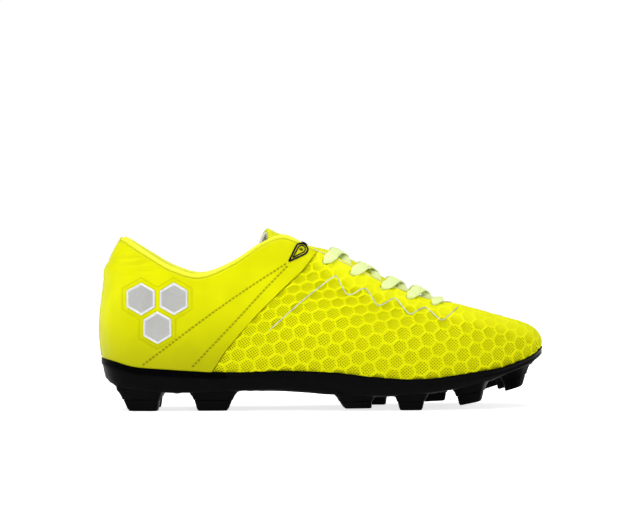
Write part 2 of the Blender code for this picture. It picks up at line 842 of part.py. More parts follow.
def lace_route():
    """From the lateral tail, down the zigzag to the bar at the toe end, and up to the medial tail."""
    frames = eyelet_frames()
    runs = {False: [], True: []}
    for start_medial in (False, True):
        side = start_medial
        points = runs[start_medial]
        for level in range(len(EYELET_STATIONS) - 1):
            points += eyelet_pass(frames, side, level)
            points += crossing(frames, side, level, over=start_medial == (level % 2 == 0))
            side = not side
        points += tail(frames, side)
    bar_start, bar_end = frames[False][0], frames[True][0]
    middle = (bar_start[0] + bar_end[0]) / 2
    middle.z = by_x(((60.0, 72.0), (84.0, 66.6)), middle.x) + 2.6
    return runs[False][::-1] + [middle] + runs[True]


def eyelet_pass(frames, side, level):
    """Over the eyestay, down the hole and under it."""
    place, out = frames[side][level]
    return [place + out * LACE_OVER, place - out * LACE_UNDER]


def crossing(frames, side, level, over):
    """Out from under the throat's edge, over the tongue, and down on the next eyelet."""
    u = EYELET_STATIONS[level] - 0.35
    under = inset(u, 0.975, side, LACE_UNDER + 0.5)
    edge = inset(EYELET_STATIONS[level + 1] + 0.12, 0.99, not side, -2.3)
    middle = under.lerp(edge, 0.5)
    middle.z = tongue_height(middle.x) + CROSSING_HEIGHTS[over]
    return [under, middle, edge]


def tongue_height(x):
    rows = [(row[0], row[1]) for row in TONGUE[::-1]]
    return by_x(rows, x)


def tail(frames, side):
    """Down the top eyelet and back inside along the collar."""
    place, out = frames[side][-1]
    sign = 1.0 if side else -1.0
    inner = [place + out * LACE_OVER, place - out * LACE_UNDER]
    for x, y, z in ((-6.0, 22.0, 84.0), (-22.0, 22.5, 74.0), (-42.0, 22.0, 64.0), (-62.0, 21.0, 56.0)):
        inner.append(Vector((x, sign * y, z)))
    return inner


def smooth_route(points, spacing):
    """Points of the smooth curve through the route's own points, which are all kept."""
    rows = [tuple(point) for point in points]
    made = []
    for i in range(len(rows) - 1):
        steps = max(1, round((points[i + 1] - points[i]).length / spacing))
        made += [Vector(along(rows, i + k / steps)) for k in range(steps)]
    return made + [points[-1]]


def add_lace(shop):
    points = smooth_route(lace_route(), LACE_SPACING)
    shop.tube("lace", points, LACE_DIAMETER, "lace")
    for name, end, before in (
        ("aglet_lateral", points[0], points[1]),
        ("aglet_medial", points[-1], points[-2]),
    ):
        direction = (end - before).normalized()
        start = end + direction * GAP
        shop.tube(
            name, [start, start + direction * AGLET_LENGTH], LACE_DIAMETER + 0.4,
            "clear_plastic", resolution=3,
        )


# Trims


def add_trim_lines(shop):
    rows = [(x, z) for x, z in TRIM]
    for medial, name in ((False, "trim_line_lateral"), (True, "trim_line_medial")):
        points = []
        for i in range(3 * (len(rows) - 1) + 1):
            u, v = locate(*along(rows, i / 3), medial)
            points.append(inset(u, v, medial, -TRIM_DIAMETER / 2 - 0.5))
        shop.tube(name, points, TRIM_DIAMETER, "silver", resolution=1)


def hexagon_place(centre, medial):
    """Turns shares of the columns and rows into places on a hexagon, two of whose sides lie
    along the rows before it is turned."""
    turn = Matrix.Rotation(math.radians(PATCH_TURN), 2)

    def place(i, j):
        height = (2 * j - 1) * PATCH_RADIUS * math.sqrt(3) / 2
        half = PATCH_RADIUS - abs(height) / math.sqrt(3)
        x, z = turn @ Vector((half * (2 * i - 1), height))
        return locate(centre[0] + x, centre[1] + z, medial)

    return place


def add_heel_patches(shop):
    for key, centre in HEEL_PATCHES.items():
        for medial, side in ((False, "lateral"), (True, "medial")):
            shop.shell(
                f"heel_patch_{key}_{side}", [(medial, 4, 4, hexagon_place(centre, medial))],
                -PATCH_THICKNESS - LAYER_GAP, PATCH_THICKNESS, "silver",
            )


def add_eyelet_patches(shop):
    """A teardrop patch with a hole, flat on the quarter round its top eyelet."""
    for medial, name in ((False, "eyelet_patch_lateral"), (True, "eyelet_patch_medial")):
        u, v = locate(*TOP_EYELET, medial)
        normal = outward(u, v, medial)
        data = bpy.data.curves.new(name, "CURVE")
        data.dimensions = "2D"
        data.fill_mode = "BOTH"
        data.extrude = PATCH_THICKNESS / 2 * MM
        for outline in (teardrop(*TEARDROP), circle(EYELET_DIAMETER / 2)):
            spline = data.splines.new("POLY")
            spline.points.add(len(outline) - 1)
            for knot, (x, y) in zip(spline.points, outline):
                knot.co = (x * MM, y * MM, 0.0, 1.0)
            spline.use_cyclic_u = True
        thing = shop.add(name, data, "black_tpu")
        back = Vector((-0.72, 0.0, -0.69))
        back = (back - normal * back.dot(normal)).normalized()
        across = normal.cross(back)
        turn = Matrix((back, across, normal)).transposed().to_4x4()
        lift = (PATCH_THICKNESS / 2 + LAYER_GAP) * MM
        thing.matrix_world = Matrix.Translation(surface(u, v, medial) * MM + normal * lift) @ turn


def circle(radius, count=12):
    turns = [2 * math.pi * i / count for i in range(count)]
    return [(radius * math.cos(turn), radius * math.sin(turn)) for turn in turns]


def teardrop(tip, radius, count=14):
    """A round end drawn out to a point along +x."""
    spread = math.acos(radius / tip)
    arc = [spread + (2 * math.pi - 2 * spread) * i / count for i in range(count + 1)]
    return [(radius * math.cos(turn), radius * math.sin(turn)) for turn in arc] + [(tip, 0.0)]


def main():
    clear_scene()
    shop = Workshop()
    add_outsole(shop)
    add_stud_tips(shop)
    add_beds(shop)
    frames = eyelet_frames()
    cutters = {
        medial: add_eyelet_cutter(shop, f"eyelets_{'medial' if medial else 'lateral'}", places)
        for medial, places in frames.items()
    }
    add_vamp(shop, cutters)
    add_quarters(shop)
    add_heel_strip(shop)
    add_stiffeners(shop)
    add_eyestays(shop, cutters)
    add_collar(shop)
    add_linings(shop)
    add_tongue(shop)
    add_lace(shop)
    add_trim_lines(shop)
    add_heel_patches(shop)
    add_eyelet_patches(shop)


main()
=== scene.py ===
"""The looks of a soccer cleat for the right foot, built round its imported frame.

Lengths are in millimetres until a mesh is made. The toe points along +X, +Z is up, and the
lateral (outer) side faces -Y; the flag medial tells the two sides of the shoe apart.
"""

import math

import bmesh
import bpy
import numpy as np
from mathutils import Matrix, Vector


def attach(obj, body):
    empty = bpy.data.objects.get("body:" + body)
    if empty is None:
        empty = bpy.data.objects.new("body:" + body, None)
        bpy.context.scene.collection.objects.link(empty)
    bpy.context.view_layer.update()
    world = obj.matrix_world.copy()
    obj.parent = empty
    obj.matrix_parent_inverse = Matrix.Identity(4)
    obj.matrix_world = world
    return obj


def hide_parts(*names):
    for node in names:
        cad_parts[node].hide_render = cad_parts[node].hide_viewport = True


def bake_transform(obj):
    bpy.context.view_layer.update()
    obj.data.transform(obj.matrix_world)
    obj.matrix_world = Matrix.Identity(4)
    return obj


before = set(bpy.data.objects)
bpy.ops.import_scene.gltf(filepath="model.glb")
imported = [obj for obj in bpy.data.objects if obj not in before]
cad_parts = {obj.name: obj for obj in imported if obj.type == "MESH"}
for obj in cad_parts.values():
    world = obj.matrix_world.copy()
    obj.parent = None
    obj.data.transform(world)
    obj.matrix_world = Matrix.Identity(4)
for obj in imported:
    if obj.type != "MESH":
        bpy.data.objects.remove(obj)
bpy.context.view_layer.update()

MM = 0.001
SIDES = ("lateral", "medial")  # these two are indexed by the flag medial
SIGN = (-1.0, 1.0)  # the sign of y
FINE = 1  # the dense grids' steps are divided by this

# The feather edge, where the upper meets the sole: x, height, lateral and medial half widths.
# Stations run from the middle of the heel round to the middle of the toe.
FEATHER = (
    (-139.0, 33.2, 0.0, 0.0), (-136.8, 33.0, 12.0, 12.0), (-130.0, 31.6, 23.0, 22.5),
    (-117.0, 28.2, 31.0, 30.0), (-97.0, 26.5, 34.0, 32.5), (-72.0, 24.9, 34.5, 31.5),
    (-48.0, 24.6, 35.0, 30.0), (-27.0, 25.2, 36.5, 30.0), (-8.0, 24.9, 39.5, 32.5),
    (12.0, 23.7, 43.0, 37.0), (32.0, 21.3, 46.0, 42.0), (52.0, 19.9, 47.6, 46.0),
    (70.0, 20.3, 47.4, 47.4), (86.0, 22.4, 44.5, 46.5), (100.0, 24.2, 39.5, 43.5),
    (113.0, 26.2, 33.0, 39.0), (124.0, 29.6, 25.0, 32.5), (132.5, 33.0, 16.0, 24.5),
    (137.6, 36.2, 6.0, 15.0), (139.4, 37.6, -4.5, 4.5),
)
# The topline and the edge of the throat at the same stations: x, height, half width.
TOPLINE = (
    (-125.0, 110.1, 0.0), (-123.3, 109.4, 8.0), (-117.5, 105.8, 16.5), (-107.0, 99.0, 23.0),
    (-92.7, 90.7, 27.0), (-75.0, 86.2, 29.0), (-55.0, 94.0, 28.0), (-37.0, 105.9, 26.0),
    (-23.0, 110.6, 24.0), (-5.0, 102.6, 21.5), (18.0, 91.5, 17.5), (40.0, 79.8, 14.0),
    (60.0, 71.6, 10.4), (75.0, 67.2, 6.0), (84.0, 65.8, 0.0),
)
# The ridge of the vamp from the end of the throat to the toe: x, height, y.
RIDGE = (
    (84.0, 65.8, 0.0), (95.0, 62.8, 1.0), (106.0, 59.6, 2.0), (116.0, 56.7, 3.0),
    (123.0, 54.5, 4.0), (127.0, 52.9, 4.5),
)
# How each section bends: outward lean at the bottom, crown angle at the top (degrees from
# upright), and the lengths of the two handles as shares of the section.
BEND = (
    (2.0, 26.0, 0.35, 0.30), (3.0, 25.0, 0.35, 0.30), (6.0, 20.0, 0.35, 0.30),
    (8.0, 12.0, 0.36, 0.30), (8.0, 7.0, 0.36, 0.30), (6.0, 5.0, 0.35, 0.30), (4.0, 9.0, 0.35, 0.30),
    (3.0, 15.0, 0.35, 0.30), (2.0, 22.0, 0.34, 0.30), (2.0, 35.0, 0.34, 0.31),
    (2.0, 48.0, 0.36, 0.33), (3.0, 58.0, 0.38, 0.35), (3.0, 66.0, 0.40, 0.37),
    (3.0, 74.0, 0.41, 0.39), (3.0, 88.0, 0.41, 0.40), (3.0, 88.0, 0.41, 0.40),
    (3.0, 88.0, 0.41, 0.40), (3.0, 88.0, 0.42, 0.40), (2.0, 88.0, 0.42, 0.40),
    (2.0, 88.0, 0.42, 0.40),
)
TOE = len(FEATHER) - 1
THROAT_END = len(TOPLINE) - 1
# The quarter's front edge, seen from the side: x and height.
QUARTER_EDGE = (
    (-70.0, 23.5), (-68.4, 26.2), (-60.5, 38.0), (-51.5, 48.5), (-40.0, 61.0), (-24.6, 76.0),
    (-11.9, 88.0), (-2.0, 100.5), (0.0, 104.0),
)

# The underside of the plate: x and height.
UNDERSIDE = (
    (-139.5, 28.0), (-136.4, 20.4), (-128.3, 15.3), (-97.0, 11.8), (-52.5, 12.5), (-31.7, 13.0),
    (-10.4, 11.8), (9.4, 9.9), (40.0, 9.2), (69.9, 11.1), (90.0, 14.2), (106.3, 17.9),
    (115.3, 21.5), (132.6, 27.6), (139.8, 33.2),
)

# Studs: x, y, length and width at the plate, length and width at the ground, foot height,
# shift of the foot along x, and turn in degrees.
STUDS = {
    "heel_lateral_rear": (-113.0, -19.0, 29.0, 14.0, 18.5, 9.0, 0.0, 1.0, -12.0),
    "heel_medial_rear": (-113.0, 19.0, 29.0, 14.0, 18.5, 9.0, 0.0, 1.0, 12.0),
    "heel_lateral_front": (-68.0, -22.0, 30.0, 13.0, 19.0, 8.5, 0.0, -0.5, -3.0),
    "heel_medial_front": (-68.0, 20.0, 30.0, 13.0, 19.0, 8.5, 0.0, -0.5, 3.0),
    "waist_lateral": (21.0, -33.0, 24.0, 12.0, 17.0, 7.5, 1.2, 1.5, 6.0),
    "waist_medial": (32.0, 29.0, 24.0, 12.0, 16.0, 7.5, 0.0, 1.0, -8.0),
    "ball_lateral": (55.5, -36.0, 20.0, 12.0, 14.0, 7.0, 0.0, 0.0, 0.0),
    "ball_medial": (71.5, 34.0, 21.0, 12.0, 14.0, 7.0, 1.6, 0.5, -4.0),
    "fore_lateral": (93.0, -28.0, 20.0, 12.0, 13.5, 7.0, 3.6, 0.0, -22.0),
    "fore_medial": (106.0, 25.0, 20.0, 11.5, 12.5, 6.5, 10.2, 1.5, 24.0),
    "toe_lateral": (121.5, -10.5, 17.0, 11.0, 11.0, 6.0, 11.8, -0.5, -40.0),
    "toe_medial": (118.0, 13.0, 17.0, 11.0, 11.0, 6.0, 11.8, -0.5, 36.0),
}
STUD_STEP = 0.55  # where a stud's tip ends, as a share of the way up to the plate
STUD_TAPER = 0.75  # how much the tip widens, as a share of a straight taper

# Steps up the vamp, along it to the throat's end, and from there to the toe.
VAMP_ROWS, VAMP_BACK, VAMP_FRONT = 120 // FINE, 216 // FINE, 132 // FINE

# The tongue's centre line: x, height of its face, half width, fall from centre to edge.
TONGUE = (
    (82.0, 60.0, 9.0, 1.5), (72.0, 62.6, 11.0, 3.0), (60.0, 66.8, 12.5, 4.2),
    (40.0, 76.2, 15.0, 6.4), (18.0, 88.2, 17.5, 8.6), (-3.0, 98.6, 17.0, 8.6),
    (-18.0, 106.0, 16.5, 8.2), (-29.0, 111.2, 15.5, 7.8), (-34.0, 113.6, 13.5, 10.0),
    (-39.5, 113.0, 13.5, 14.0), (-46.5, 109.8, 13.0, 16.5),
)
# How far the padding lifts the tongue's middle, by x.
TONGUE_PUFF = (
    (-40.0, 0.5), (-20.0, 0.6), (-10.0, 1.4), (0.0, 4.0), (8.0, 5.6), (20.0, 5.6), (60.0, 5.0),
    (72.0, 3.4), (80.0, 0.4), (82.0, 0.0),
)
TONGUE_ROWS = 8.0  # the row of TONGUE where its middle ends
TONGUE_THICKNESS = 3.6

EYELET_STATIONS = (12.60, 11.69, 10.92, 10.05, 9.31)  # from the toe end up
EYELET_EDGE = 0.895  # their height on the surface, v
TOP_EYELET = (-12.1, 100.6)  # the unlaced one, seen from the side
BINDING_END = 8.75  # the station where the collar's binding ends
QUARTER_TOP = 0.978  # the quarter's upper edge, v, just under the binding

# The wavy trim on the forefoot, seen from the side: x and height.
TRIM = (
    (-32.6, 50.5), (-13.1, 67.6), (-2.6, 75.9), (7.9, 83.4), (10.5, 82.6), (13.2, 77.3),
    (15.8, 73.1), (19.4, 72.5), (25.7, 75.8), (28.8, 75.1), (33.1, 68.3), (35.7, 65.4),
    (39.5, 66.6), (43.5, 68.7), (46.7, 69.5), (50.5, 65.0), (54.0, 60.8), (56.1, 59.8),
    (63.5, 63.4), (66.6, 62.9), (74.0, 56.6), (77.1, 56.6), (86.5, 63.8),
)
# The two rows of stitch holes on the quarter, seen from the side: points along each.
STITCH_ROWS = (
    ((-22.3, 91.5), (-46.0, 76.5), (-73.3, 57.7), (-111.1, 29.8)),
    ((-21.3, 89.9), (-35.5, 75.5), (-53.3, 56.5), (-80.1, 28.6)),
)
STITCH_PITCH = 2.6

# The middles of the three patches on the heel, seen from the side.
HEEL_PATCHES = {"rear": (-112.5, 70.5), "front": (-92.0, 70.5), "lower": (-102.25, 52.7)}
PATCH_RADIUS = 10.3  # from the middle to a corner
PATCH_HALF = PATCH_RADIUS * math.sqrt(3) / 2  # from the middle to a side
# How much fuller the back of the heel is than the surface, by height.
HEEL_FULLNESS = (
    (34.0, 0.0), (48.0, 1.2), (60.0, 1.6), (76.0, 1.8), (82.0, 2.5), (87.0, 3.5), (90.0, 3.2),
    (94.0, 2.3), (99.0, 1.5), (105.0, 0.6), (112.0, 0.3),
)
# Creases there: height, tilt, depth, middle along x, and length.
HEEL_CREASES = (
    (95.5, 0.10, 0.40, -121.0, 9.0), (91.5, 0.16, 0.55, -118.0, 10.0),
    (88.0, 0.05, 0.35, -110.0, 9.0), (84.5, 0.12, 0.30, -124.0, 7.0),
)

# The honeycomb of the knit: its cells' width and depth
CELL = 9.0
CELL_DEPTH = 1.2
CELL_X = 45.0  # where the rows rise at CELL_RISE degrees; the rise grows by CELL_BEND a millimetre
CELL_RISE = 14.6
CELL_BEND = 0.07
# Over this line, seen from the side, the honeycomb fades out: x and height.
FADE_LINE = (
    (-75.0, 118.0), (-20.0, 98.0), (-6.0, 92.0), (8.0, 83.0), (20.0, 76.0), (45.0, 67.0),
    (70.0, 59.0), (86.0, 55.5), (100.0, 51.5), (115.0, 47.5), (128.0, 43.5), (140.0, 41.0),
)

# How deep the lace runs under the surface, and how high its two crossing bands lie over the
# throat's edges, the lower one first.
LACE_UNDER = 4.7
CROSSING_HEIGHTS = (3.3, 4.9)

# The plate's wall from its foot to its lip: offset out from the feather edge, and share of the
# way up to it. The tray is the hollow that the upper sits in.
WALL = (
    (-6.0, 0.0), (-4.6, 0.0), (-3.6, 0.015), (-2.7, 0.07), (-1.8, 0.18), (-0.9, 0.34), (0.0, 0.52),
    (0.7, 0.70), (1.1, 0.86), (1.15, 0.95), (1.0, 0.99), (0.75, 1.0), (0.35, 1.0),
)
TRAY_DEPTH = 4.2

MATERIALS = {}  # by the short names that the pieces use
# CAD nodes out of sight, which only take a material.
HIDDEN_PARTS = {
    "insole_board": "board", "heel_counter": "board", "toe_puff": "board", "shank": "nylon",
    "collar_foam": "foam", "eyestay_lateral": "leather", "eyestay_medial": "leather",
}

YELLOW = (0.80, 0.82, 0.005)
YELLOW_LIGHT = (0.88, 0.90, 0.015)
YELLOW_SHADE = (0.25, 0.25, 0.0)
# the colour of the painted shade low on the upper, which darkens it towards the sole
YELLOW_PAINTED_LOW_SHADE = (0.28, 0.28, 0.0)

# Soft lights: name, place, what they point at (both in metres), width and height, watts.
LIGHTS = (
    ("overhead", (-0.10, -0.20, 1.2), (0.0, 0.0, 0.05), (1.1, 0.8), 15.0),
    ("heel_side", (-1.5, -0.7, 0.7), (0.0, 0.0, 0.06), (0.8, 0.6), 6.5),
    ("toe_side", (1.4, -0.8, 0.9), (0.08, 0.0, 0.05), (0.8, 0.6), 2.2),
    ("front", (0.3, -1.9, 0.9), (0.0, 0.0, 0.05), (0.9, 0.7), 3.0),
)


# Curves through stations, for arrays of places


def curve(rows, place, before=None, after=None):
    """The Catmull-Rom curve through rows of numbers, read at row numbers that may be fractions."""
    rows = np.asarray(rows, float)
    first = rows[0] if before is None else before
    final = rows[-1] if after is None else after
    padded = np.vstack((first, rows, final))
    place = np.asarray(place, float)
    index = np.clip(np.floor(place).astype(int), 0, len(rows) - 2)
    share = (place - index)[..., None]
    a, b, c, d = (padded[index + k] for k in range(4))
    return 0.5 * (
        2 * b + (c - a) * share + (2 * a - 5 * b + 4 * c - d) * share**2
        + (3 * b - a - 3 * c + d) * share**3
    )


def by_x(rows, x):
    """The smooth curve through (x, value) rows, read at x."""
    knots = np.array([row[0] for row in rows])
    inside = np.clip(x, knots[0], knots[-1])
    index = np.clip(np.searchsorted(knots, inside) - 1, 0, len(knots) - 2)
    share = (inside - knots[index]) / (knots[index + 1] - knots[index])
    return curve(rows, index + share)[..., 1]


def smooth(low, high, value):
    """0 at low and under it, 1 at high and over it, with an easy turn between."""
    share = np.clip((value - low) / (high - low), 0.0, 1.0)
    return share * share * (3 - 2 * share)


def unit(vectors):
    return vectors / np.linalg.norm(vectors, axis=-1, keepdims=True)


def dot(one, two):
    return (one * two).sum(-1, keepdims=True)


def bell(value, middle, width):
    """1 at the middle, falling off within a few widths of it."""
    return np.exp(-((value - middle) / width) ** 2)


def power(value, exponent):
    """A power that keeps the sign."""
    return np.sign(value) * np.abs(value) ** exponent


def circle(count):
    return np.linspace(0, 2 * math.pi, count, endpoint=False)


def run_length(points, axis=0):
    """Length along a grid's lines from their first points."""
    steps = np.linalg.norm(np.diff(points, axis=axis), axis=-1)
    shape = list(steps.shape)
    shape[axis] = 1
    return np.concatenate((np.zeros(shape), np.cumsum(steps, axis=axis)), axis=axis)


def resample(points, spacing):
    """Points at even spacing along a polyline."""
    lengths = run_length(points)
    count = max(2, round(lengths[-1] / spacing) + 1)
    places = np.linspace(0, lengths[-1], count)
    return np.stack([np.interp(places, lengths, points[:, k]) for k in range(points.shape[1])], -1)


# The upper's outer surface: u is the station, v runs from the feather edge, 0, to the top, 1


def feather(u, medial):
    def row(station, inner_side):
        x, z, outer, inner = FEATHER[station]
        return (x, inner if inner_side else -outer, z)

    rows = [row(i, medial) for i in range(TOE + 1)]
    return curve(rows, u, row(1, not medial), row(TOE - 1, not medial))


def inward_normal(u, medial):
    """The level direction into the shoe at the feather edge."""
    run = feather(np.minimum(u + 0.02, TOE), medial) - feather(np.maximum(u - 0.02, 0.0), medial)
    level = unit(np.stack((run[..., 1], -run[..., 0], 0 * u), -1)) * SIGN[medial]
    level = np.where((u == 0.0)[..., None], (1.0, 0.0, 0.0), level)
    return np.where((u == TOE)[..., None], (-1.0, 0.0, 0.0), level)


def top(u, medial):
    """The topline, the throat's edge or, past the throat, the vamp's ridge."""
    x, z, y = np.moveaxis(curve(TOPLINE, np.minimum(u, THROAT_END), (-123.3, 109.4, -8.0)), -1, 0)
    line = np.stack((x, SIGN[medial] * y, z), -1)
    x, z, y = np.moveaxis(curve(RIDGE, np.maximum(u - THROAT_END, 0.0)), -1, 0)
    return np.where((u >= THROAT_END)[..., None], np.stack((x, y, z), -1), line)


def ridge_slope(u):
    ahead = top(np.minimum(u + 0.05, TOE), False)
    behind = top(np.maximum(u - 0.05, THROAT_END), False)
    return (ahead[..., 2] - behind[..., 2]) / (ahead[..., 0] - behind[..., 0])


def surface(u, v, medial):
    u, v = np.broadcast_arrays(np.asarray(u, float), np.asarray(v, float))
    start, end = feather(u, medial), top(u, medial)
    lean, crown, rise, reach = np.moveaxis(curve(BEND, u), -1, 0)[..., None]
    inward = inward_normal(u, medial)
    chord = end - start
    across = dot(chord, inward)
    up = np.array((0.0, 0.0, 1.0))
    slide = chord * (1.0, 1.0, 0.0) - inward * across
    size = np.hypot(across, chord[..., 2:])
    low = start + up * rise * size - inward * (np.tan(np.radians(lean)) * rise * size) + slide / 3
    level = inward * (reach * size * np.sin(np.radians(crown))) + slide / 3
    lift = reach * size * np.cos(np.radians(crown))
    settled = np.clip(u - THROAT_END + 1.0, 0.0, 1.0)[..., None]
    slope = ridge_slope(np.maximum(u, THROAT_END))[..., None]
    lift = lift + (slope * level[..., :1] - lift) * settled
    v = v[..., None]
    w = 1 - v
    return start * w**3 + low * (3 * w * w * v) + (end - level - up * lift) * (3 * w * v * v) + end * v**3


def outward(u, v, medial):
    u, v = np.broadcast_arrays(np.asarray(u, float), np.asarray(v, float))
    step = 0.01
    along_u = surface(np.minimum(u + step, TOE), v, medial) - surface(np.maximum(u - step, 0), v, medial)
    along_v = surface(u, np.minimum(v + step, 1), medial) - surface(u, np.maximum(v - step, 0), medial)
    normal = np.cross(along_v, along_u) if medial else np.cross(along_u, along_v)
    ends = ((u == 0) | (u == TOE))[..., None]
    normal = np.where(ends, normal * (1.0, 0.0, 1.0), normal)
    crest = np.stack((-ridge_slope(np.maximum(u, THROAT_END)), 0 * u, 1 + 0 * u), -1)
    return unit(np.where(((v == 1.0) & (u >= THROAT_END))[..., None], crest, normal))


def inset(u, v, medial, depth):
    """Points this far under the outer surface, or over it where depth is negative."""
    depth = np.asarray(depth, float)
    depth = depth[..., None] if depth.ndim else depth
    return surface(u, v, medial) - outward(u, v, medial) * depth


def locate(x, z, medial):
    """The u and v where the surface is at these places, seen from the side, by Newton steps."""
    x, z = np.atleast_1d(np.asarray(x, float)), np.atleast_1d(np.asarray(z, float))
    stations = np.arange(1.0, TOE - 0.9, 0.5)
    middle = surface(stations, 0.5, medial)[:, 0]
    u = stations[np.argmin(np.abs(middle - x[:, None]), axis=1)]
    v = np.full_like(u, 0.5)
    for _ in range(25):
        here = surface(u, v, medial)
        du = (surface(np.minimum(u + 0.01, TOE), v, medial) - here) / 0.01
        dv = (surface(u, np.minimum(v + 0.01, 1.0), medial) - here) / 0.01
        size = du[:, 0] * dv[:, 2] - du[:, 2] * dv[:, 0]
        miss_x, miss_z = x - here[:, 0], z - here[:, 2]
        u = u + (miss_x * dv[:, 2] - miss_z * dv[:, 0]) / size
        v = v + (miss_z * du[:, 0] - miss_x * du[:, 2]) / size
        u, v = np.clip(u, 0.1, TOE - 0.1), np.clip(v, 0.0, 0.985)
    return u, v


def find_quarter_line():
    """The stations of the quarter's front edge at even steps of v, by halving."""
    v = np.linspace(0.0, 1.0, 81)
    low, high = 0 * v + 4.0, 0 * v + 10.5
    edge_x, edge_z = np.array(QUARTER_EDGE).T
    for _ in range(40):
        middle = (low + high) / 2
        here = surface(middle, v, False)
        ahead = here[:, 0] > np.interp(here[:, 2], edge_z, edge_x)
        low, high = np.where(ahead, low, middle), np.where(ahead, middle, high)
    return v, middle


QUARTER_LINE = find_quarter_line()


def quarter_line(v):
    return np.interp(v, *QUARTER_LINE)


def quarter_swell(u, v, medial):
    """How far the quarter's face stands out over its pad and over the vamp's edge."""
    here = surface(u, v, medial)
    to_front = np.linalg.norm(surface(quarter_line(v), v, medial) - here, axis=-1)
    to_top = np.linalg.norm(surface(u, QUARTER_TOP, medial) - here, axis=-1)
    pad = 0.7 * smooth(0.70, 0.84, v) * smooth(0.5, 3.4, to_top)
    return 0.4 * (1 - smooth(1.5, 9.0, to_front)) + pad


# Meshes


def grid_faces(columns, rows, first, flip, skip=None):
    """The quads of a grid whose points are numbered column by column from first."""
    i, j = np.meshgrid(np.arange(columns - 1), np.arange(rows - 1), indexing="ij")
    corner = first + i * rows + j
    quads = np.stack((corner, corner + rows, corner + rows + 1, corner + 1), -1)
    if skip is not None:
        quads = quads[~skip]
    quads = quads.reshape(-1, 4)
    return quads[:, ::-1] if flip else quads


def place(thing, key, *nodes, body="shoe"):
    """The piece rides on a body and stands for CAD nodes, which are hidden."""
    if nodes:
        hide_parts(*nodes)
    if body:
        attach(thing, body)


def new_piece(name, points, faces, key, nodes=None, attributes=None, weld=None, sharp=40.0):
    """A mesh object from points in millimetres and arrays of faces. It is placed on the shoe
    unless nodes is None; nodes are the CAD nodes it stands for, if any."""
    data = bpy.data.meshes.new(name)
    faces = [face for group in faces for face in np.asarray(group).tolist()]
    data.from_pydata((np.asarray(points) * MM).tolist(), [], faces)
    for label, values in (attributes or {}).items():
        kind, field = ("FLOAT_VECTOR", "vector") if values.ndim == 2 else ("FLOAT", "value")
        layer = data.attributes.new(label, kind, "POINT")
        layer.data.foreach_set(field, values.astype(np.float32).ravel())
    body = bmesh.new()
    body.from_mesh(data)
    if weld:
        bmesh.ops.remove_doubles(body, verts=body.verts, dist=weld * MM)
    bmesh.ops.recalc_face_normals(body, faces=body.faces)
    body.to_mesh(data)
    body.free()
    data.shade_smooth()
    data.set_sharp_from_angle(angle=math.radians(sharp))
    thing = bpy.data.objects.new(name, data)
    bpy.context.scene.collection.objects.link(thing)
    data.materials.append(MATERIALS[key])
    if nodes is not None:
        place(thing, key, *nodes)
    return thing


def rim_faces(outer, inner, flip):
    """A strip of polygons from each edge of the inner line to the finer outer line. Each is a
    list of point numbers, and the outer line has a whole number of steps to each inner one."""
    steps = (len(outer) - 1) // (len(inner) - 1)
    made = []
    for k in range(len(inner) - 1):
        face = list(outer[k * steps:(k + 1) * steps + 1]) + [inner[k + 1], inner[k]]
        made.append(face[::-1] if flip else face)
    return made


def thick_sheet(outer, under, coarse, medial, first=0, rims="foot head start end"):
    """A closed sheet's points and faces: the fine outer grid, every coarse-th point of the
    grid under it, and rims between them. Both grids are columns by rows by 3."""
    columns, rows = outer.shape[:2]
    inner = under[::coarse, ::coarse]
    inner_first = first + columns * rows
    inner_columns, inner_rows = inner.shape[:2]
    number = first + np.arange(columns * rows).reshape(columns, rows)
    inner_number = inner_first + np.arange(inner_columns * inner_rows).reshape(inner_columns, inner_rows)
    faces = [
        grid_faces(columns, rows, first, medial),
        grid_faces(inner_columns, inner_rows, inner_first, not medial),
    ]
    sides = {
        "foot": (number[:, 0], inner_number[:, 0], True),
        "head": (number[:, -1], inner_number[:, -1], False),
        "start": (number[0], inner_number[0], False),
        "end": (number[-1], inner_number[-1], True),
    }
    for side in rims.split():
        outer_line, inner_line, flip = sides[side.partition(":")[0]]
        if ":" in side:
            last = int(side.partition(":")[2])
            outer_line, inner_line = outer_line[:last + 1], inner_line[:last // coarse + 1]
        faces.append(rim_faces(outer_line, inner_line, flip != medial))
    points = np.vstack((outer.reshape(-1, 3), inner.reshape(-1, 3)))
    return points, faces


def spread(values, coarse):
    """Attribute values of a thick sheet: the outer grid's, then the same for the points under it."""
    grids = values, values[::coarse, ::coarse]
    return np.concatenate([grid.reshape(-1, *grid.shape[2:]) for grid in grids])


def sheet_piece(name, key, node, sides, coarse=1, rims="foot head start end", weld=None, sharp=40.0):
    """A piece of closed sheets. Each side gives its outer grid, the grid under it, which way it
    faces (medial) and its attributes."""
    points, faces, layers = [], [], []
    for outer, under, medial, attributes in sides:
        sheet, quads = thick_sheet(outer, under, coarse, medial, sum(map(len, points)), rims)
        points.append(sheet)
        faces += quads
        layers.append({label: spread(values, coarse) for label, values in attributes.items()})
    joined = {label: np.concatenate([layer[label] for layer in layers]) for label in layers[0]}
    return new_piece(name, np.vstack(points), faces, key, [node], joined, weld, sharp)


def coat(base, normal, depth, least):
    """A grid this deep under the surface, and one under it that is at least so deep."""
    return base - normal * depth[..., None], base - normal * np.maximum(least, depth + 0.3)[..., None]


def weave(grid):
    """Lengths along and across cloth."""
    return np.stack((run_length(grid, 0), run_length(grid, 1), 0 * grid[..., 0]), -1)


def edged(count, length, edge, at_start=False, at_end=True):
    """Shares from 0 to 1 in count steps, with the steps nearest a rounded edge pulled close."""
    shares = np.linspace(0.0, 1.0, count + 1)
    close = np.array((0.0, 0.12, 0.4)) * edge / length
    if at_start:
        shares[:3] = close
    if at_end:
        shares[-3:] = 1.0 - close[::-1]
    return shares


def rounded(distance, radius):
    """How deep a rounded edge has dropped this far from the edge."""
    inside = np.clip(radius - distance, 0.0, radius)
    return radius - np.sqrt(np.maximum(radius**2 - inside**2, 0.0))


# Materials


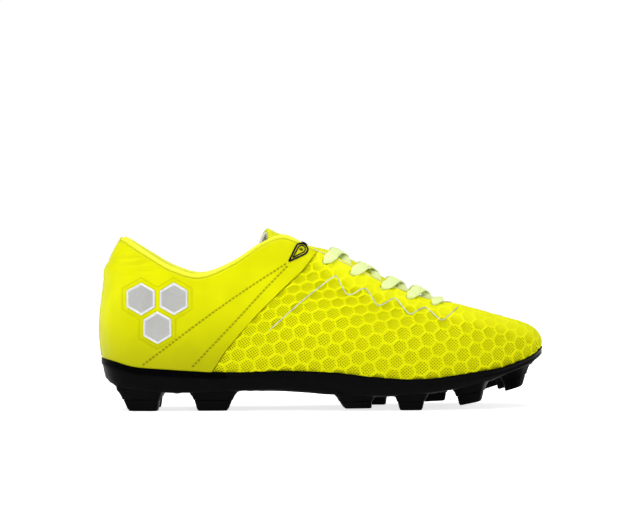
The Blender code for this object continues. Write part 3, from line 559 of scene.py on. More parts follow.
class Nodes:
    """A node tree, written as nested calls. Its shader is the node that the results go to."""

    def __init__(self, owner, shader):
        owner.use_nodes = True
        self.tree = owner.node_tree
        self.shader = self.tree.nodes[shader]

    def node(self, kind, output, inputs, **settings):
        made = self.tree.nodes.new("ShaderNode" + kind)
        for key, value in settings.items():
            setattr(made, key, value)
        for key, value in inputs.items():
            if isinstance(value, bpy.types.NodeSocket):
                self.tree.links.new(value, made.inputs[key])
            elif value is not None:
                made.inputs[key].default_value = value
        return made.outputs[output]

    def math(self, operation, a, b=0.0):
        return self.node("Math", 0, {0: a, 1: b}, operation=operation)

    def times(self, a, b):
        return self.math("MULTIPLY", a, b)

    def plus(self, a, b):
        return self.math("ADD", a, b)

    def ramp(self, value, low, high, start=0.0, end=1.0):
        """value between low and high, turned smoothly into start to end."""
        inputs = {0: value, 1: low, 2: high, 3: start, 4: end}
        return self.node("MapRange", 0, inputs, interpolation_type="SMOOTHSTEP")

    def sine(self, value, pitch):
        """A wave from 0 to 1 with this pitch."""
        wave = self.math("SINE", self.times(value, 2 * math.pi / pitch))
        return self.node("Math", 0, {0: wave, 1: 0.5, 2: 0.5}, operation="MULTIPLY_ADD")

    def blend(self, share, a, b):
        """Colours a and b mixed by share; either may be a socket or a tuple."""
        a, b = (c if isinstance(c, bpy.types.NodeSocket) else (*c, 1.0) for c in (a, b))
        return self.node("Mix", 2, {0: share, 6: a, 7: b}, data_type="RGBA")

    def noise(self, size, detail=3.0, vector=None, rough=0.55):
        """Noise whose features are about this many millimetres across."""
        vector = vector or self.node("TexCoord", "Object", {})
        inputs = {"Vector": vector, "Scale": 1.0 / (size * MM), "Detail": detail, "Roughness": rough}
        return self.node("TexNoise", 0, inputs)

    def attribute(self, name, output="Fac"):
        return self.node("Attribute", output, {}, attribute_name=name)

    def painted_shade_near_sole(self):
        """1 at the sole's edge, 0 a few centimetres over it: the mask of the painted shade that darkens the
        upper towards the sole.
        """
        height = self.parts(self.node("TexCoord", "Object", {}))[2]
        return self.ramp(height, 0.018, 0.072, 1.0, 0.0)

    def parts(self, vector):
        return self.node("SeparateXYZ", slice(None), {0: vector})

    def lengths(self):
        """The first two parts of the attribute weave, lengths in the cloth."""
        return self.parts(self.attribute("weave", "Vector"))[:2]

    def use(self, key, value):
        self.tree.links.new(value, self.shader.inputs[key])

    def colour(self, share, a, b):
        self.use("Base Color", self.blend(share, a, b))

    def bump(self, height, distance):
        """Relief of this many millimetres where height runs from 0 to 1."""
        inputs = {"Height": height, "Distance": distance * MM, "Strength": 1.0}
        self.use("Normal", self.node("Bump", 0, inputs))


class Looks(Nodes):
    """A material's node tree."""

    def __init__(self, name, colour, roughness, **sockets):
        self.material = bpy.data.materials.new(name)
        super().__init__(self.material, "Principled BSDF")
        self.shader.inputs["Base Color"].default_value = (*colour, 1.0)
        self.shader.inputs["Roughness"].default_value = roughness
        for key, value in sockets.items():
            self.shader.inputs[key.replace("_", " ")].default_value = value


def knit_material():
    """Honeycomb knit. The attribute cell holds pattern x, pattern y and the honeycomb's
    strength; edge holds the distance from the nearest cell border."""
    looks = Looks("honeycomb_knit", YELLOW, 0.72, Specular_IOR_Level=0.05)
    x, y, strength = looks.parts(looks.attribute("cell", "Vector"))
    inside = looks.times(looks.ramp(looks.attribute("edge"), 0.30, 1.05), strength)
    one = looks.sine(looks.plus(x, looks.times(y, 0.55)), 1.6)
    two = looks.sine(looks.plus(looks.times(x, -0.45), y), 1.55)
    holes = looks.ramp(looks.times(one, two), 0.22, 0.66)
    ribs = looks.ramp(looks.sine(x, 1.3), 0.15, 0.9)
    ribs = looks.times(ribs, looks.ramp(looks.sine(y, 2.6), -0.6, 0.5))
    cloudy = looks.noise(14.0, 2.0)
    base = looks.blend(looks.ramp(cloudy, 0.3, 0.7), YELLOW, YELLOW_LIGHT)
    ribbed = looks.blend(looks.times(ribs, 0.15), base, YELLOW_SHADE)
    # painted shade: the knit's pores, which are sunk as pits, are coloured nearly black
    pitted = looks.blend(holes, (0.70, 0.71, 0.0), (0.13, 0.13, 0.0))
    plain = looks.blend(strength, ribbed, (0.72, 0.73, 0.0))
    knitted = looks.blend(inside, plain, pitted)
    # painted shade: the knit is coloured darker towards the sole
    looks.colour(looks.times(looks.painted_shade_near_sole(), 0.28), knitted, YELLOW_PAINTED_LOW_SHADE)
    fibres = looks.noise(0.35, 2.0)
    height = looks.plus(looks.times(looks.times(holes, inside), -1.0), looks.times(fibres, 0.25))
    outside = looks.times(looks.times(ribs, -0.8), looks.math("SUBTRACT", 1.0, strength))
    looks.bump(looks.plus(height, outside), 0.22)
    return looks.material


def leather_material(name, darker, lighter):
    """Smooth synthetic leather; the attribute mark paints shade into stitch holes and grooves, the
    attribute pale paints a highlight, and the leather is painted darker towards the sole.
    """
    looks = Looks(name, lighter, 0.42, Specular_IOR_Level=0.055)
    cloudy = looks.ramp(looks.noise(22.0, 2.0), 0.3, 0.7)
    base = looks.blend(cloudy, darker, lighter)
    # painted shade: the leather is coloured darker towards the sole
    base = looks.blend(looks.times(looks.painted_shade_near_sole(), 0.85), base, YELLOW_PAINTED_LOW_SHADE)
    # painted highlight: the attribute pale lightens a band along the quarter's rounded top edge
    base = looks.blend(looks.attribute("pale"), base, (0.72, 0.74, 0.03))
    # painted shade: the marked holes and grooves are coloured dark
    looks.colour(looks.attribute("mark"), base, (0.10, 0.10, 0.0))
    grain = looks.noise(0.8, 4.0, rough=0.6)
    looks.use("Roughness", looks.ramp(grain, 0.2, 0.8, 0.34, 0.52))
    looks.bump(grain, 0.05)
    return looks.material


def weave_material(name, colour, shade, pitch):
    """Plain woven cloth; the attribute weave holds lengths along and across it."""
    looks = Looks(name, colour, 0.85, Sheen_Weight=0.3, Sheen_Roughness=0.5, Specular_IOR_Level=0.2)
    x, y = looks.lengths()
    over = looks.times(looks.sine(x, pitch), looks.sine(y, pitch))
    half = pitch / 2
    under = looks.times(looks.sine(looks.plus(x, half), pitch), looks.sine(looks.plus(y, half), pitch))
    threads = looks.ramp(looks.plus(over, under), 0.1, 0.8)
    cloudy = looks.times(looks.noise(9.0, 2.0), 0.25)
    looks.colour(looks.plus(looks.times(threads, 0.75), cloudy), shade, colour)
    looks.bump(looks.plus(threads, looks.times(looks.noise(0.3, 2.0), 0.3)), 0.18)
    return looks.material


def rib_material(name, colour, shade, pitch):
    """Ribbed knit; the attribute weave holds lengths across and along the ribs."""
    looks = Looks(name, colour, 0.7, Specular_IOR_Level=0.15)
    x, y = looks.lengths()
    ribs = looks.ramp(looks.sine(x, pitch), 0.1, 0.9)
    stitches = looks.sine(looks.plus(y, looks.times(looks.sine(x, pitch), pitch / 2)), pitch * 0.8)
    knit = looks.plus(looks.times(ribs, 0.7), looks.times(stitches, 0.3))
    looks.colour(looks.ramp(knit, 0.0, 0.75), shade, colour)
    looks.bump(knit, 0.3)
    return looks.material


def moulded_material(name, colour, roughness, grain_size, gloss):
    """Moulded plastic with a fine texture and faint scuffs."""
    looks = Looks(name, colour, roughness, Specular_IOR_Level=gloss)
    grain = looks.noise(grain_size, 3.0)
    scuffs = looks.ramp(looks.noise(6.0, 4.0, rough=0.7), 0.45, 0.75)
    lighter = tuple(c * 1.8 + 0.001 for c in colour)
    looks.colour(looks.times(scuffs, 0.5), colour, lighter)
    looks.use("Roughness", looks.ramp(scuffs, 0.0, 1.0, roughness - 0.06, roughness + 0.12))
    looks.bump(grain, 0.04)
    return looks.material


def film_material():
    """Brushed silver film; the attribute mark is 1 on its welded border."""
    looks = Looks("silver_film", (0.42, 0.42, 0.41), 0.38, Metallic=0.35)
    coordinates = looks.node("TexCoord", "Object", {})
    stretched = looks.node("Mapping", 0, {"Vector": coordinates, "Scale": (1.0, 1.0, 4.0)})
    brushed = looks.noise(1.6, 4.0, vector=stretched)
    base = looks.blend(brushed, (0.36, 0.36, 0.35), (0.52, 0.52, 0.51))
    looks.colour(looks.attribute("mark"), base, (0.66, 0.66, 0.70))
    looks.use("Roughness", looks.ramp(brushed, 0.2, 0.8, 0.32, 0.5))
    looks.bump(brushed, 0.03)
    return looks.material


def lace_material():
    """A flat braid in herringbone; the attribute weave holds lengths along and across it."""
    looks = Looks("lace_braid", (0.70, 0.93, 0.30), 0.8, Specular_IOR_Level=0.2)
    x, y = looks.lengths()
    slant = looks.plus(x, looks.times(looks.math("ABSOLUTE", y), 0.9))
    cords = looks.ramp(looks.sine(slant, 0.85), 0.1, 0.9)
    rows = looks.ramp(looks.sine(y, 0.95), 0.0, 0.8)
    braid = looks.plus(looks.times(cords, 0.6), looks.times(rows, 0.4))
    looks.colour(braid, (0.70, 0.86, 0.28), (0.93, 1.0, 0.50))
    looks.bump(braid, 0.3)
    return looks.material


def plain_material(name, colour, roughness, size, **sockets):
    """A hidden part's material: two close tones in noise and a fine bump."""
    looks = Looks(name, colour, roughness, **sockets)
    grain = looks.noise(size, 4.0)
    darker = tuple(c * 0.75 for c in colour)
    looks.colour(looks.ramp(grain, 0.3, 0.7), darker, colour)
    looks.bump(grain, 0.08)
    return looks.material


def make_materials():
    MATERIALS.update({
        "knit": knit_material(),
        "leather": leather_material("smooth_leather", (0.57, 0.58, 0.0), (0.63, 0.64, 0.0)),
        "piping": leather_material("piping_leather", (0.74, 0.77, 0.03), (0.82, 0.85, 0.06)),
        "lining": weave_material("lining_cloth", (0.86, 0.86, 0.82), (0.60, 0.60, 0.56), 1.1),
        # painted light: a lighter copy of the lining cloth, so the tongue's shaded underside looks lit
        "tongue_lining": weave_material("tongue_lining_cloth", (0.97, 0.97, 0.93), (0.84, 0.84, 0.78), 1.1),
        "sock": weave_material("sockliner_cloth", (0.66, 0.68, 0.66), (0.36, 0.38, 0.37), 1.4),
        "tongue": rib_material("tongue_knit", YELLOW, (0.45, 0.47, 0.0), 1.5),
        "thread": weave_material("pale_thread", (0.86, 0.84, 0.55), (0.60, 0.58, 0.30), 0.5),
        "plate": moulded_material("plate_tpu", (0.0012, 0.0012, 0.0014), 0.36, 0.6, 0.02),
        "stud": moulded_material("stud_tpu", (0.0012, 0.0012, 0.0014), 0.34, 0.5, 0.02),
        "silver": film_material(),
        "black": moulded_material("black_film", (0.0020, 0.0020, 0.0050), 0.42, 0.5, 0.12),
        "lace": lace_material(),
        "aglet": plain_material("clear_tip", (0.72, 0.86, 0.45), 0.22, 3.0, Transmission_Weight=0.35),
        "board": plain_material("fibre_board", (0.42, 0.33, 0.22), 0.85, 1.2),
        "nylon": plain_material("shank_nylon", (0.05, 0.05, 0.055), 0.45, 1.5),
        "foam": plain_material("open_foam", (0.75, 0.75, 0.70), 0.95, 0.7),
    })


# The upper


def honeycomb(points):
    """Where each point of one side lies in the knit's pattern. Lengths along the side and up it
    are turned by an angle that grows towards the toe, which keeps the cells' shape. The knit is
    stretched where the side leans in over the waist."""
    along = run_length(points, 0)
    start = [np.interp(CELL_X, points[:, j, 0], along[:, j]) for j in range(points.shape[1])]
    foot = points[:, :1, 2]
    level = 0.65 * (1 - smooth(75.0, 120.0, points[..., 0]))
    up = run_length(points, 1) * (1 - level) + (points[..., 2] - foot) * level + foot - 55.0
    rise, bend = math.radians(CELL_RISE), math.radians(CELL_BEND)
    place = (along - start) + 1j * up
    turned = 1j / bend * (np.exp(-1j * (rise + bend * place)) - np.exp(-1j * rise))
    return turned.real, turned.imag, along[-1] - along


def hexagon_reach(x, y):
    """Distance from a hexagon's centre measured to its sides; it stands on a corner."""
    x, y = np.abs(x), np.abs(y)
    return np.maximum(x, x / 2 + y * math.sqrt(3) / 2)


def cell_edge(x, y):
    """Distance from the nearest border of the honeycomb."""
    tall = CELL * math.sqrt(3)
    first = np.stack((np.mod(x, CELL) - CELL / 2, np.mod(y, tall) - tall / 2))
    second = np.stack((np.mod(x + CELL / 2, CELL) - CELL / 2, np.mod(y + tall / 2, tall) - tall / 2))
    near = np.where(np.hypot(*first) < np.hypot(*second), first, second)
    return CELL / 2 - hexagon_reach(*near)


def honeycomb_strength(points, to_toe):
    over = points[..., 2] - by_x(FADE_LINE, points[..., 0])
    fade = 1.0 - 0.62 * smooth(-2.0, 4.0, over) - 0.38 * smooth(4.0, 13.0, over)
    return fade * smooth(1.0, 9.0, to_toe)


def vamp_side(medial):
    """One side's grids and attributes. Columns run from the quarter to the throat's end and on
    to the toe."""
    v = edged(VAMP_ROWS, 70.0, 0.8)[None]
    start = quarter_line(v) - 0.02
    shares = np.linspace(0, 1, VAMP_BACK + 1)[:, None]
    ahead = np.linspace(0, 1, VAMP_FRONT + 1)[1:, None]
    front = THROAT_END + (TOE - THROAT_END) * ahead + 0 * v
    u = np.concatenate((start + (THROAT_END - start) * shares, front))
    u[-1] = TOE
    v = v + 0 * u
    base = surface(u, v, medial)
    x, y, to_toe = honeycomb(base)
    edge = cell_edge(x, y)
    strength = honeycomb_strength(base, to_toe)
    depth = CELL_DEPTH * strength * (0.5 * smooth(0.3, 1.4, edge) + 0.5 * smooth(0.5, 3.4, edge))
    depth += 1.3 * (1 - smooth(0.9, 1.8, run_length(base, 0)))
    depth -= 0.7 * smooth(117.0, 134.0, base[..., 0]) * smooth(36.5, 41.5, base[..., 2])
    from_top = run_length(base, 1)
    from_top = from_top[:, -1:] - from_top
    free = 1 - smooth(THROAT_END - 0.5, THROAT_END - 0.05, u)
    depth += free * (rounded(from_top, 0.7) - 0.3 * (1 - smooth(2.0, 2.8, from_top)))
    for centre in surface(np.array(EYELET_STATIONS), EYELET_EDGE, medial):
        depth += 2.4 * (1 - smooth(1.3, 2.5, np.linalg.norm(base - centre, axis=-1)))
    outer, under = coat(base, outward(u, v, medial), depth, 1.4)
    return outer, under, medial, {"cell": np.stack((x, y, strength), -1), "edge": edge}


def build_vamp():
    sides = [vamp_side(medial) for medial in (False, True)]
    sheet_piece("vamp_knit", "knit", "vamp", sides, 6, f"foot head:{VAMP_BACK} start", weld=0.02)


def stitch_marks(points):
    """1 in each stitch hole of the two rows, seen from the side, and 0 away from them."""
    mark = np.zeros(points.shape[:-1])
    flat = points[..., [0, 2]]
    for row in STITCH_ROWS:
        line = resample(curve(row, np.linspace(0, len(row) - 1, 60)), STITCH_PITCH)
        direction = unit(np.gradient(line, axis=0))
        for centre, (dx, dz) in zip(line, direction):
            off = flat - centre
            along = off[..., 0] * dx + off[..., 1] * dz
            across = off[..., 1] * dx - off[..., 0] * dz
            mark = np.maximum(mark, 1 - smooth(0.55, 1.25, np.hypot(along / 0.86, across / 0.74)))
    return mark


def patch_border(points):
    """Distance outside the nearest heel patch, seen from the side, negative inside it."""
    reach = [hexagon_reach(points[..., 0] - x, points[..., 2] - z) for x, z in HEEL_PATCHES.values()]
    return np.min(reach, axis=0) - PATCH_HALF


def heel_folds(points):
    """Shallow creases across the back of the heel tab, over a fuller heel."""
    x, z = points[..., 0], points[..., 2]
    near_heel = smooth(-114.0, -130.0, x)
    folds = near_heel * (0.4 * bell(z, 92.5, 1.6) - by_x(HEEL_FULLNESS, z))
    for height, tilt, size, middle, length in HEEL_CREASES:
        off = z - height - tilt * (x - middle)
        folds += size * bell(x, middle, length) * (bell(off, 0.0, 1.3) - 0.6 * bell(off, 2.2, 1.4))
    return folds


def build_quarter(medial):
    v = QUARTER_TOP * edged(168 // FINE, 72.0, 0.7)[None]
    u = 0.03 + quarter_line(v) * edged(252 // FINE, 90.0, 0.8)[:, None]
    v = v + 0 * u
    base = surface(u, v, medial)
    to_front, to_top = run_length(base, 0), run_length(base, 1)
    to_front, to_top = to_front[-1:] - to_front, to_top[:, -1:] - to_top
    mark, border = stitch_marks(base), patch_border(base)
    groove, seam = bell(border, 2.4, 0.45), bell(to_top, 1.8, 0.5)
    eye = surface(*locate(*TOP_EYELET, medial), medial)
    hole = 1 - smooth(0.8, 1.5, np.linalg.norm(base - eye, axis=-1))
    depth = 0.45 * mark + 0.22 * groove + heel_folds(base) + 1.2 * hole + 0.55 * seam
    depth += 0.12 * (1 - smooth(0.0, 1.2, np.abs(border))) - quarter_swell(u, v, medial)
    depth += rounded(to_front, 0.65) + rounded(to_top, 0.65)
    outer, under = coat(base, outward(u, v, medial), depth, 1.2)
    # painted shade: the sunk stitch holes, the grooves round the patches, the top eyelet's hole and the
    # seam under the binding
    shade = np.clip(0.72 * mark + 0.22 * groove + 0.95 * hole + 0.30 * seam, 0, 1)
    # pale is a painted highlight along the rounded top edge
    layers = {"mark": shade, "pale": 1 - smooth(1.2, 1.8, to_top)}
    side = SIDES[medial]
    sheet_piece(f"quarter_skin_{side}", "leather", f"quarter_{side}", [(outer, under, medial, layers)], 6)


def build_heel_strip():
    """The narrow strip over the back seam, with a row of stitches along each edge."""
    v = np.linspace(0.015, QUARTER_TOP, 150)[None]
    across = np.linspace(-1.0, 1.0, 25)[:, None]
    share = np.linspace(0.0, 1.0, 13)[:, None]
    half = 0.30 + 0.10 * v
    sides = ((share[::-1] * half, v + 0 * share, False), (share[1:] * half, v + 0 * share[1:], True))
    base, normal = (np.concatenate([of(*side) for side in sides]) for of in (surface, outward))
    dashes = smooth(0.2, 0.6, np.sin(run_length(base, 1) * 2 * math.pi / 2.4))
    stitch = bell(np.abs(across), 0.74, 0.09) * dashes
    depth = -0.55 + 0.3 * stitch + 0.5 * smooth(0.88, 1.0, np.abs(across)) + heel_folds(base)
    # painted shade: the sunk stitches are coloured dark through mark
    side = (base - normal * depth[..., None], base, True, {"mark": 0.7 * stitch})
    sheet_piece("heel_strip_skin", "leather", "heel_strip", [side])


def tube_faces(number):
    """The quads between closed loops, given their points' numbers, loop by loop."""
    here, ahead = number[:-1], number[1:]
    return np.stack((here, np.roll(here, -1, 1), np.roll(ahead, -1, 1), ahead), -1).reshape(-1, 4)


def loft(name, loops, key, nodes=None, attributes=None, sharp=50.0):
    """A piece through closed loops of points, capped at both ends."""
    number = np.arange(loops.size // 3).reshape(loops.shape[:2])
    faces = [tube_faces(number), number[:1, ::-1], number[-1:]]
    return new_piece(name, loops.reshape(-1, 3), faces, key, nodes, attributes, sharp=sharp)


def sections(centres, first, second, x, y):
    """A loop round each centre: x along its first direction, y along its second."""
    return centres[:, None] + first[:, None] * x[..., None] + second[:, None] * y[..., None]


def ribbon(name, points, normals, widths, heights, key, nodes, around=16, squareness=0.55, mark=0.0):
    """Rounded flat sections along a path: across it by widths, along the normals by heights."""
    tangents = unit(np.gradient(points, axis=0))
    normals = unit(normals - tangents * dot(normals, tangents))
    x = np.cos(circle(around)) * widths[:, None] / 2
    y = power(np.sin(circle(around)), squareness) * heights[:, None] / 2
    loops = sections(points, np.cross(normals, tangents), normals, x, y)
    lengths = np.stack((run_length(points)[:, None] + 0 * x, x, 0 * x), -1)
    layers = {"weave": lengths.reshape(-1, 3)}
    if mark:
        layers["mark"] = np.full(x.size, mark)
    loft(name, loops, key, nodes, layers)


def topline_places(step=0.05):
    """Stations along the topline from the lateral front, round the heel, to the medial front."""
    places = np.arange(-BINDING_END, BINDING_END + step / 2, step)
    return np.abs(places), places > 0


def both_ways(function, u, v, medial, *more):
    """function(u, v, side, ...) for places that are partly on either side."""
    one, two = function(u, v, False, *more), function(u, v, True, *more)
    return np.where(medial[:, None], two, one)


def build_collar_binding():
    """The rolled edge of the collar, from the quarter's outer face over to the lining."""
    u, medial = topline_places()
    outer, inner, peak = (
        both_ways(inset, u, v, medial, depth) for v, depth in ((0.968, 0.35), (0.955, 5.6), (1.0, 2.4))
    )
    taper = 0.25 + 0.75 * smooth(0.0, 0.42, BINDING_END - u)[:, None] ** 0.6
    centre = outer + (inner - outer) * taper / 2
    aside = unit(outer - inner)
    half = np.linalg.norm(outer - inner, axis=-1, keepdims=True) / 2 * taper
    rise = peak - centre
    rise = (rise - aside * dot(rise, aside)) * taper
    turns = circle(26)
    high = np.sin(turns) * np.where(np.sin(turns) > 0, 1.05, 0.38)
    loops = sections(centre, aside * (half + 0.15), rise, power(np.cos(turns), 0.8), high)
    loft("collar_piping", loops, "piping", ["collar_binding"])


def build_collar_pad():
    """The padded lining round the ankle."""
    places = np.linspace(-1.0, 1.0, 241)
    u = (BINDING_END - 0.3) * np.abs(places)
    inner, outer = [], []
    for v in np.linspace(0.60, 0.962, 29):
        bulge = math.sin(math.pi * (v - 0.60) / 0.362) ** 0.6
        limit = np.minimum(u, quarter_line(v) - 0.15)
        for rows, depth in ((inner, 4.6 + 1.9 * bulge - 0.5 * bell(v, 0.80, 0.012)), (outer, 4.2)):
            rows.append(both_ways(inset, limit, v, places > 0, depth))
    inner, outer = np.stack(inner, 1), np.stack(outer, 1)
    side = (inner, outer, False, {"weave": weave(inner)})
    sheet_piece("collar_pad", "lining", "collar_lining", [side])


def build_lining(node, start, end, high, depth):
    """A lining sheet round both sides: stations are functions of height."""
    sides = []
    for medial in (False, True):
        v = np.linspace(0.02, high, 41)[None]
        u = start(v) + (end(v) - start(v)) * np.linspace(0.0, 1.0, 97)[:, None]
        outer, inner = (inset(u, v + 0 * u, medial, deep) for deep in (depth, depth + 0.8))
        sides.append((outer, inner, medial, {"weave": weave(inner)}))
    sheet_piece(f"{node}_cloth", "lining", node, sides, weld=0.01)


def build_linings():
    build_lining("quarter_lining", lambda v: 0 * v, lambda v: quarter_line(v) + 0.1, 0.66, 3.6)
    build_lining("vamp_lining", quarter_line, lambda v: TOE + 0 * v, 0.62, 4.4)


# The tongue


def tongue_grid(rows, across, depth):
    """Points of the tongue: rows along it, across from -1 to 1, depth under its face."""
    x, z, half, fall = np.moveaxis(curve(TONGUE, rows), -1, 0)
    ahead = curve(TONGUE, np.minimum(rows + 0.05, len(TONGUE) - 1))
    behind = curve(TONGUE, np.maximum(rows - 0.05, 0.0))
    run = unit(np.stack((behind[..., 0] - ahead[..., 0], 0 * x, behind[..., 1] - ahead[..., 1]), -1))
    face = np.stack((x, half * across, z - fall * across**2), -1)
    slope = np.stack((0 * x, 1 + 0 * x, -2 * fall * across / half), -1)
    normal = unit(np.cross(slope, run))
    normal = np.where(normal[..., 2:] > 0, normal, -normal)
    return face - normal * depth[..., None]


def build_tongue():
    """A padded tongue, ribbed outside and lined inside, with a bound edge. Its free end is
    cut aslant, longer on the medial side."""
    columns, around = 200, 96
    shares = np.linspace(0.0, 1.0, columns)[:, None]
    turns = np.linspace(2 * math.pi, 0, around, endpoint=False)[None]
    across = power(np.cos(turns), 0.75)
    over = np.sin(turns)
    end = TONGUE_ROWS - 0.55 * across**2 + 1.9 * np.maximum(across, 0.0) ** 1.5
    rows = end * shares
    taper = np.sqrt(np.clip(np.minimum(shares * 30, (1 - shares) * 55), 0.0, 1.0))
    thick = TONGUE_THICKNESS / 2 * power(over, 0.5) * (0.25 + 0.75 * taper)
    channel = bell(np.abs(across), 0.80, 0.035) * np.abs(over) ** 0.5
    channel = channel + bell(across, 0.0, 0.03) * 0.5 * (over > 0)
    puff = by_x(TONGUE_PUFF, curve(TONGUE, rows)[..., 0]) * (1 - across**2)
    depth = TONGUE_THICKNESS / 2 - thick * (1 - 0.28 * channel) - puff
    loops = tongue_grid(rows + 0 * across, across + 0 * rows, depth)
    width = across * 17.0 + 0 * rows
    lengths = np.stack((width, run_length(loops, 0), 0 * width), -1)
    tongue = loft("tongue_pad", loops, "tongue", attributes={"weave": lengths.reshape(-1, 3)})
    tongue.data.materials.append(MATERIALS["tongue_lining"])
    under = (over < -0.25).ravel()
    flags = np.zeros(len(tongue.data.polygons), np.int32)
    flags[:(columns - 1) * around] = np.tile(under, columns - 1)
    tongue.data.polygons.foreach_set("material_index", flags)
    place(tongue, "tongue", "tongue_lower", "tongue_flap", body=None)
    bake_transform(tongue)


# The lace


def lace_route():
    """Rows of place, face direction, width and thickness from the lateral tail, down the zigzag
    to the bar at the toe end, and up to the medial tail."""
    runs = []
    for first in (False, True):
        medial, face, rows = first, 1.0, []
        for level in range(len(EYELET_STATIONS) - 1):
            rows += eyelet_pass(medial, level, face)
            face = -face
            rows += crossing(medial, level, first == (level % 2 == 0), face)
            medial = not medial
        runs.append(rows + tail(medial, face))
    edges = [lace_row(EYELET_STATIONS[0] + 0.25, 0.97, side, -1.1, 1.0, 6.2, 1.3) for side in (False, True)]
    middle = (edges[0][:3] + edges[1][:3]) / 2
    middle[2] = max(edges[0][2], edges[1][2]) + 1.2
    bar = [edges[0], np.array((*middle, 0.0, 0.0, 1.0, 6.6, 1.3)), edges[1]]
    return np.vstack((runs[0][::-1], bar, runs[1]))


def lace_row(u, v, medial, depth, face, width, height, direction=None):
    normal = outward(u, v, medial) if direction is None else direction
    return np.array((*inset(u, v, medial, depth), *(normal * face), width, height))


def eyelet_pass(medial, level, face):
    """Flat on the eyestay, down through the hole and back under it."""
    u, v = EYELET_STATIONS[level], EYELET_EDGE
    down = unit(surface(u, v - 0.02, medial) - surface(u, v + 0.02, medial))
    slanted = 0.5 * down + 0.5 * outward(u, 0.9, medial)
    return [
        lace_row(u + 0.09, v + 0.035, medial, -1.0, face, 6.6, 1.4),
        lace_row(u + 0.01, v + 0.002, medial, 0.2, face, 3.9, 1.8, slanted),
        lace_row(u, v, medial, 2.6, face, 3.4, 1.9, down),
        lace_row(u, v + 0.012, medial, LACE_UNDER, -face, 4.4, 1.6),
    ]


def crossing(medial, level, over, face):
    """Out from under the throat's edge, over the tongue and down on the next eyelet. Heights
    are over the throat's edges."""
    u, following = EYELET_STATIONS[level], EYELET_STATIONS[level + 1]
    under = lace_row(u + 0.04, 0.975, medial, LACE_UNDER - 0.2, face, 5.4, 1.3)
    edge = lace_row(following + 0.22, 0.985, not medial, -1.5, face, 7.0, 1.3)
    edges = [(row[0], row[1]) for row in TOPLINE[5:]]
    rows = [under]
    for share, height, side in ((0.26, 1.7, -1.0), (0.52, CROSSING_HEIGHTS[over], 0.0), (0.80, 3.6, 1.0)):
        row = under + (edge - under) * share
        row[2] = by_x(edges, row[0]) + height
        lean = -0.55 * side * SIGN[medial]
        row[3:6] = np.array((0.42, lean, 0.80)) * face
        row[6:] = (7.2, 1.3)
        rows.append(row)
    return [*rows, edge]


def tail(medial, face):
    """Down the top eyelet and back inside along the collar."""
    rows = eyelet_pass(medial, len(EYELET_STATIONS) - 1, face)
    for x, y, z in ((-6.0, 22.0, 84.0), (-22.0, 22.5, 74.0), (-42.0, 22.0, 64.0), (-62.0, 21.0, 56.0)):
        rows.append(np.array((x, SIGN[medial] * y, z, 0.0, SIGN[medial] * face, 0.0, 5.4, 1.3)))
    return rows


def build_lace():
    route = lace_route()
    fine = curve(route, np.linspace(0, len(route) - 1, 12 * (len(route) - 1) + 1))
    fine = resample(fine, 0.9)
    ribbon("flat_lace", fine[:, :3], fine[:, 3:6], fine[:, 6], fine[:, 7], "lace", ["lace"], around=18)
    for side, end, before in (("lateral", fine[0], fine[6]), ("medial", fine[-1], fine[-7])):
        build_aglet(side, end, before)


def build_aglet(side, end, before):
    """A crimped plastic tip over the lace's end."""
    direction = unit(end[:3] - before[:3])
    places = np.linspace(-2.0, 18.5, 60)
    points = end[:3] + direction * places[:, None]
    normals = np.repeat(end[None, 3:6], len(places), 0)
    body = smooth(-2.2, -1.6, places) * (1 - smooth(17.6, 18.6, places))
    crimp = 0.12 * np.maximum(bell(places, 1.5, 0.5), bell(places, 15.0, 0.5))
    size = 2.9 * (0.55 + 0.45 * body) - 2 * crimp
    flare = 2.2 * (1 - smooth(-2.0, 1.5, places))
    ribbon(f"aglet_tip_{side}", points, normals, size + flare, size * 0.96, "aglet",
           [f"aglet_{side}"], around=20, squareness=1.0)


# Trims


def surface_line(places, medial):
    """Points and outward directions of the surface under a line seen from the side."""
    u, v = locate(places[:, 0], places[:, 1], medial)
    return surface(u, v, medial), outward(u, v, medial)


def build_trim_line(medial):
    line = resample(curve(TRIM, np.linspace(0, len(TRIM) - 1, 300)), 0.8)
    points, normals = surface_line(line, medial)
    points = resample(points, 0.7)
    normals = curve(normals, np.linspace(0, len(normals) - 1, len(points)))
    length = run_length(points)
    ends = smooth(0.0, 4.0, np.minimum(length, length[-1] - length))
    side = SIDES[medial]
    ribbon(f"silver_line_{side}", points, normals, 0.22 + 0.30 * ends, 0.6 + 0 * ends, "silver",
           [f"trim_line_{side}"], around=12, mark=0.35)


def build_heel_patch(key, centre, medial):
    """A hexagonal film with a welded, raised border."""
    shares = np.linspace(0.0, 1.0, 45)
    i, j = np.meshgrid(shares, shares, indexing="ij")
    height = (2 * j - 1) * PATCH_HALF
    width = (PATCH_RADIUS - np.abs(height) / math.sqrt(3)) * (2 * i - 1)
    turned = (width + 1j * height) * np.exp(1j * math.radians(30.0))
    x, z = centre[0] + turned.real, centre[1] + turned.imag
    u, v = (part.reshape(x.shape) for part in locate(x.ravel(), z.ravel(), medial))
    inside = PATCH_HALF - hexagon_reach(turned.real, turned.imag)
    border = smooth(0.1, 0.4, inside) * (1 - smooth(1.0, 1.5, inside))
    proud = 0.30 + 0.38 * border - rounded(inside, 0.3)
    bulge = quarter_swell(u, v, medial) - heel_folds(surface(u, v, medial))
    outer, under = (inset(u, v, medial, depth - bulge) for depth in (-proud, 0.25))
    name = f"{key}_{SIDES[medial]}"
    side = (outer, under, medial, {"mark": border})
    sheet_piece(f"heel_film_{name}", "silver", f"heel_patch_{name}", [side], 4, sharp=60.0)


def teardrop(tip, radius, count=90):
    """The outline of a round end drawn out to a point along +x."""
    spread_angle = math.acos(radius / tip)
    turns = np.linspace(spread_angle, 2 * math.pi - spread_angle, count)
    arc = np.stack((radius * np.cos(turns), radius * np.sin(turns)), -1)
    return np.vstack((arc, [(tip, 0.0)], arc[:1]))


